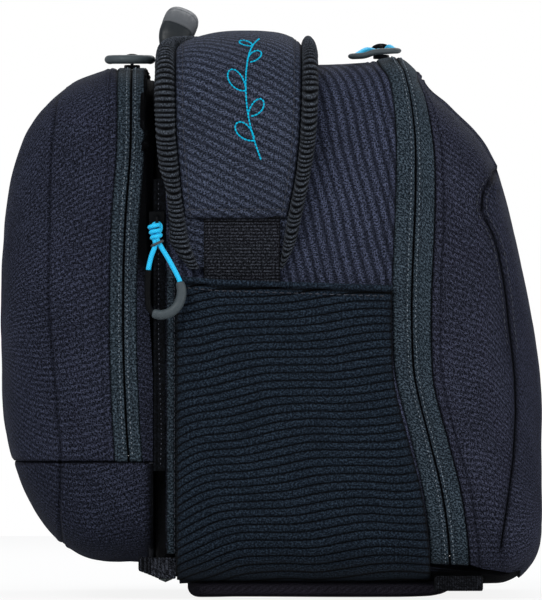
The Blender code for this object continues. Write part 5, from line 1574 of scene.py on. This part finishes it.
def pullers():
    """Both pullers on top, and the one that hangs in the gap on each side."""
    for prefix, sleeve, crown, flat in LYING_PULLERS:
        low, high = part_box(f"{prefix}_slider")
        spot = ((low[0] + high[0]) / 2, (low[1] + high[1]) / 2, low[2] + HOLE_RISE * MM)
        cord = lying_cord(sleeve, crown)
        puller(prefix, "", Matrix.Translation(spot), sleeve, cord, f"{prefix}_puller", 1, False, flat)
        bridge = (spot[0], spot[1], spot[2] - 0.0005)
        slider_bridge(f"{prefix}_slider_bridge", bridge, f"{prefix}_slider_body")
    for side, sign in SIDES:
        turn = Matrix(((-sign, 0, 0), (0, 0, 1), (0, sign, 0))).transposed().to_4x4()
        spot = (GAP_SLIDER[0], sign * (HALF_WIDTH + 0.0003 + HOLE_RISE * MM), GAP_SLIDER[1])
        place = Matrix.Translation(spot) @ turn
        flip = 1 if sign < 0 else -1
        puller("gap", f"_{side}", place, HANGING_SLEEVE, HANGING_CORD, f"gap_puller_{side}", flip, True)


def gap_stitches():
    """The light row of coil loops that shows in the dark gap."""
    z = np.linspace(0.0655, 0.2085, 200)
    x = np.interp(z, (0.064, 0.083, 0.13, 0.21), (-0.0553, -0.0548, -0.0562, -0.0562))
    path = xyz(x, -HALF_WIDTH + 0.0001, z)
    stitches("gap_coil", both_rows([(path, (0.0, -1.0, 0.0))]), "main_body", 0.0009, 0.0016, 0.00030)


# Carried-over nodes


FINISH_BY_NAME = (
    ("gap_zip", BLACK_TAPE), ("gap_slider", BLACK_PLASTIC), ("handle_pin", STEEL), ("frame_tube", FRAME_TUBE),
    ("frame_crossbar", FRAME_COAT), ("frame_lug", DARK_PLASTIC), ("carrier_block", DARK_PLASTIC),
    ("back_panel", BOARD), ("inner_base_board", INNER_CLOTH), ("front_slider", BLACK_PLASTIC),
    ("rear_slider", BLACK_PLASTIC),
)
BEVELLED = ("frame_lug", "carrier_block", "gap_slider", "front_slider", "rear_slider")
SMOOTH_ANGLE = math.radians(35)

# Handle: pivot, lean, and stations in mm: distance from the middle, rise over the pivot, half width, height
PIVOT = (-0.053, 0.0, 0.274)
GRIP_LEAN = math.radians(23)
EYE_Y = 0.0627
EYE_RADIUS = 0.0037
GRIP_STATIONS = (
    (-46.0, 17.5, 7.7, 5.8), (-45.0, 17.6, 8.4, 6.3), (-42.0, 17.8, 8.6, 6.5), (-26.0, 18.6, 8.6, 6.6),
    (0.0, 19.0, 8.6, 6.6),
    (26.0, 18.6, 8.6, 6.6), (42.0, 17.8, 8.6, 6.5), (45.0, 17.6, 8.4, 6.3), (46.0, 17.5, 7.7, 5.8),
)
SHOULDER_STATIONS = (
    (46.2, 17.4, 7.7, 5.8), (47.0, 17.3, 8.4, 6.2), (51.0, 16.6, 8.5, 6.0), (55.0, 15.0, 8.4, 5.4),
    (57.6, 13.2, 8.1, 4.7),
)
ARM_STATIONS = (
    (57.4, 13.3, 8.2, 4.8), (58.2, 12.4, 8.2, 4.7), (60.6, 9.4, 7.8, 4.0), (62.0, 6.4, 6.8, 3.3),
    (62.6, 3.4, 5.2, 2.9), (62.7, 2.4, 4.4, 2.8),
)


def handle_part(name, stations, sign, material):
    """A part of the handle through stations, with a squared oval section."""
    values = along_curve(stations, np.linspace(0, 1, 90))
    y, rise, wide, high = (values * MM).T
    lean = np.array((math.sin(GRIP_LEAN), 0.0, math.cos(GRIP_LEAN)))
    across = np.array((math.cos(GRIP_LEAN), 0.0, -math.sin(GRIP_LEAN)))
    path = np.array(PIVOT) + rise[:, None] * lean + xyz(0, sign * y, 0)
    along = np.gradient(path, axis=0)
    along = directions(along)
    up = np.cross(across, along)
    turns = around(32)
    round_x = squared(np.cos(turns), 0.8)
    round_z = squared(np.sin(turns), 0.8)
    sideways = (wide[:, None] * round_x)[..., None] * across
    rings = path[:, None] + sideways + (high[:, None] * round_z)[..., None] * up[:, None]
    return closed_tube(name, rings, material, "carry_handle")


def handle():
    """Grip, and a shoulder, an arm and an eye round the pin on each side."""
    stand_for(handle_part("grip", GRIP_STATIONS, 1, GREY_RUBBER), "handle_grip")
    for side, sign in SIDES:
        stand_for(handle_part(f"handle_arm_{side}", ARM_STATIONS, sign, DARK_PLASTIC), f"handle_end_{side}")
        handle_part(f"handle_shoulder_{side}", SHOULDER_STATIONS, sign, GREY_RUBBER)
        turns = np.linspace(0, 2 * np.pi, 61)
        centre = np.array((PIVOT[0], sign * EYE_Y, PIVOT[2]))
        ring = centre + EYE_RADIUS * xyz(np.cos(turns), 0, np.sin(turns))
        eye = sweep_rings(ring, (0.0013, 0.0028), 14, (0, 1, 0))
        closed_tube(f"handle_eye_{side}", eye, DARK_PLASTIC, "carry_handle")


def carried_over():
    """Materials for the CAD nodes that stay, and fine bevels on the hard ones."""
    for name, obj in NODES.items():
        finish = [material for part, material in FINISH_BY_NAME if part in name]
        if finish:
            obj.data.materials.clear()
            obj.data.materials.append(finish[0])
        if name.startswith(BEVELLED):
            edge = obj.modifiers.new("edges", "BEVEL")
            edge.width = 0.0004
            edge.segments = 2
            edge.limit_method = "ANGLE"
            edge.angle_limit = SMOOTH_ANGLE


main_skins()
front_skin()
rear_pieces()
front_fold()
corner_linings()
zip_halves(main_point, FRONT_LINE, FRONT_RIM_Z + 0.001, FRONT_HALF, FRONT_ZIP)
zip_halves(rear_point, REAR_LINE, REAR_SEAM_Z + 0.0003, REAR_HALF, REAR_ZIP)
strap_back()
strap_front()
strap_webbing()
side_pocket()
rear_binding()
webbing_loops()
base_skin()
pullers()
gap_stitches()
handle()
carried_over()


# Floor, light and camera


FLOOR_HALF = 2.5
FLOOR_Z = -0.0002
FLOOR_GLOW = 0.88  # share of white in what the camera sees of the floor
SKY = ((0.9, 0.93, 1.0, 1), 0.55)
BACKDROP = ((1, 1, 1, 1), 1.0)
AIM = (0, 0, 0.14)
LIGHTS = (
    ("key_light", (-0.9, -1.5, 1.5), 0.9, 26.0),
    ("fill_light", (1.9, -1.3, 0.8), 1.2, 22.0),
    ("back_light", (0.3, 1.6, 1.4), 1.2, 16.0),
)


def floor_plane():
    """Plain pale floor that keeps the bag's shadow."""
    mesh = bpy.data.meshes.new("floor")
    corners = ((-1, -1), (1, -1), (1, 1), (-1, 1))
    mesh.from_pydata([(x * FLOOR_HALF, y * FLOOR_HALF, FLOOR_Z) for x, y in corners], [], [(0, 1, 2, 3)])
    floor = bpy.data.objects.new("floor", mesh)
    bpy.context.scene.collection.objects.link(floor)
    shader = Shader("floor", (0.8, 0.8, 0.8), 0.9)
    seen = shader.add("LightPath").outputs["Is Camera Ray"]
    emission = shader.add("Emission", Color=(1, 1, 1, 1), Strength=1.0)
    share = shader.math("MULTIPLY", seen, FLOOR_GLOW)
    mixed = shader.add("MixShader", i0=share, i1=shader.main.outputs[0], i2=emission.outputs[0])
    shader.tree.links.new(mixed.outputs[0], shader.tree.nodes["Material Output"].inputs["Surface"])
    mesh.materials.append(shader.material)


def studio():
    """Floor, a sky that lights the bag but shows as plain white, and three soft lamps."""
    floor_plane()
    world = bpy.data.worlds.new("world")
    bpy.context.scene.world = world
    world.use_nodes = True
    tree = world.node_tree
    choose_inputs = []
    for node, (colour, strength) in (
        (tree.nodes["Background"], SKY),
        (tree.nodes.new("ShaderNodeBackground"), BACKDROP),
    ):
        node.inputs["Color"].default_value = colour
        node.inputs["Strength"].default_value = strength
        choose_inputs.append(node.outputs[0])
    rays = tree.nodes.new("ShaderNodeLightPath")
    choose = tree.nodes.new("ShaderNodeMixShader")
    for k, output in enumerate((rays.outputs["Is Camera Ray"], *choose_inputs)):
        tree.links.new(output, choose.inputs[k])
    tree.links.new(choose.outputs[0], tree.nodes["World Output"].inputs["Surface"])
    for name, place, size, power in LIGHTS:
        lamp = bpy.data.lights.new(name, "AREA")
        lamp.size = size
        lamp.energy = power
        obj = bpy.data.objects.new(name, lamp)
        bpy.context.scene.collection.objects.link(obj)
        obj.location = place
        obj.rotation_euler = (Vector(AIM) - Vector(place)).to_track_quat("-Z", "Y").to_euler()


def camera():
    """Long lens at the photograph's side view, square to the near side."""
    lens = bpy.data.cameras.new("camera")
    lens.sensor_width = SENSOR
    lens.lens = SENSOR * CAMERA_DISTANCE / VIEW_HEIGHT
    lens.clip_end = 4 * CAMERA_DISTANCE
    obj = bpy.data.objects.new("camera", lens)
    bpy.context.scene.collection.objects.link(obj)
    obj.location = (0, -HALF_WIDTH - CAMERA_DISTANCE, VIEW_CENTRE_Z)
    obj.rotation_euler = (math.radians(90), 0, 0)
    bpy.context.scene.camera = obj


studio()
camera()
bpy.context.scene.view_settings.view_transform = "Standard"
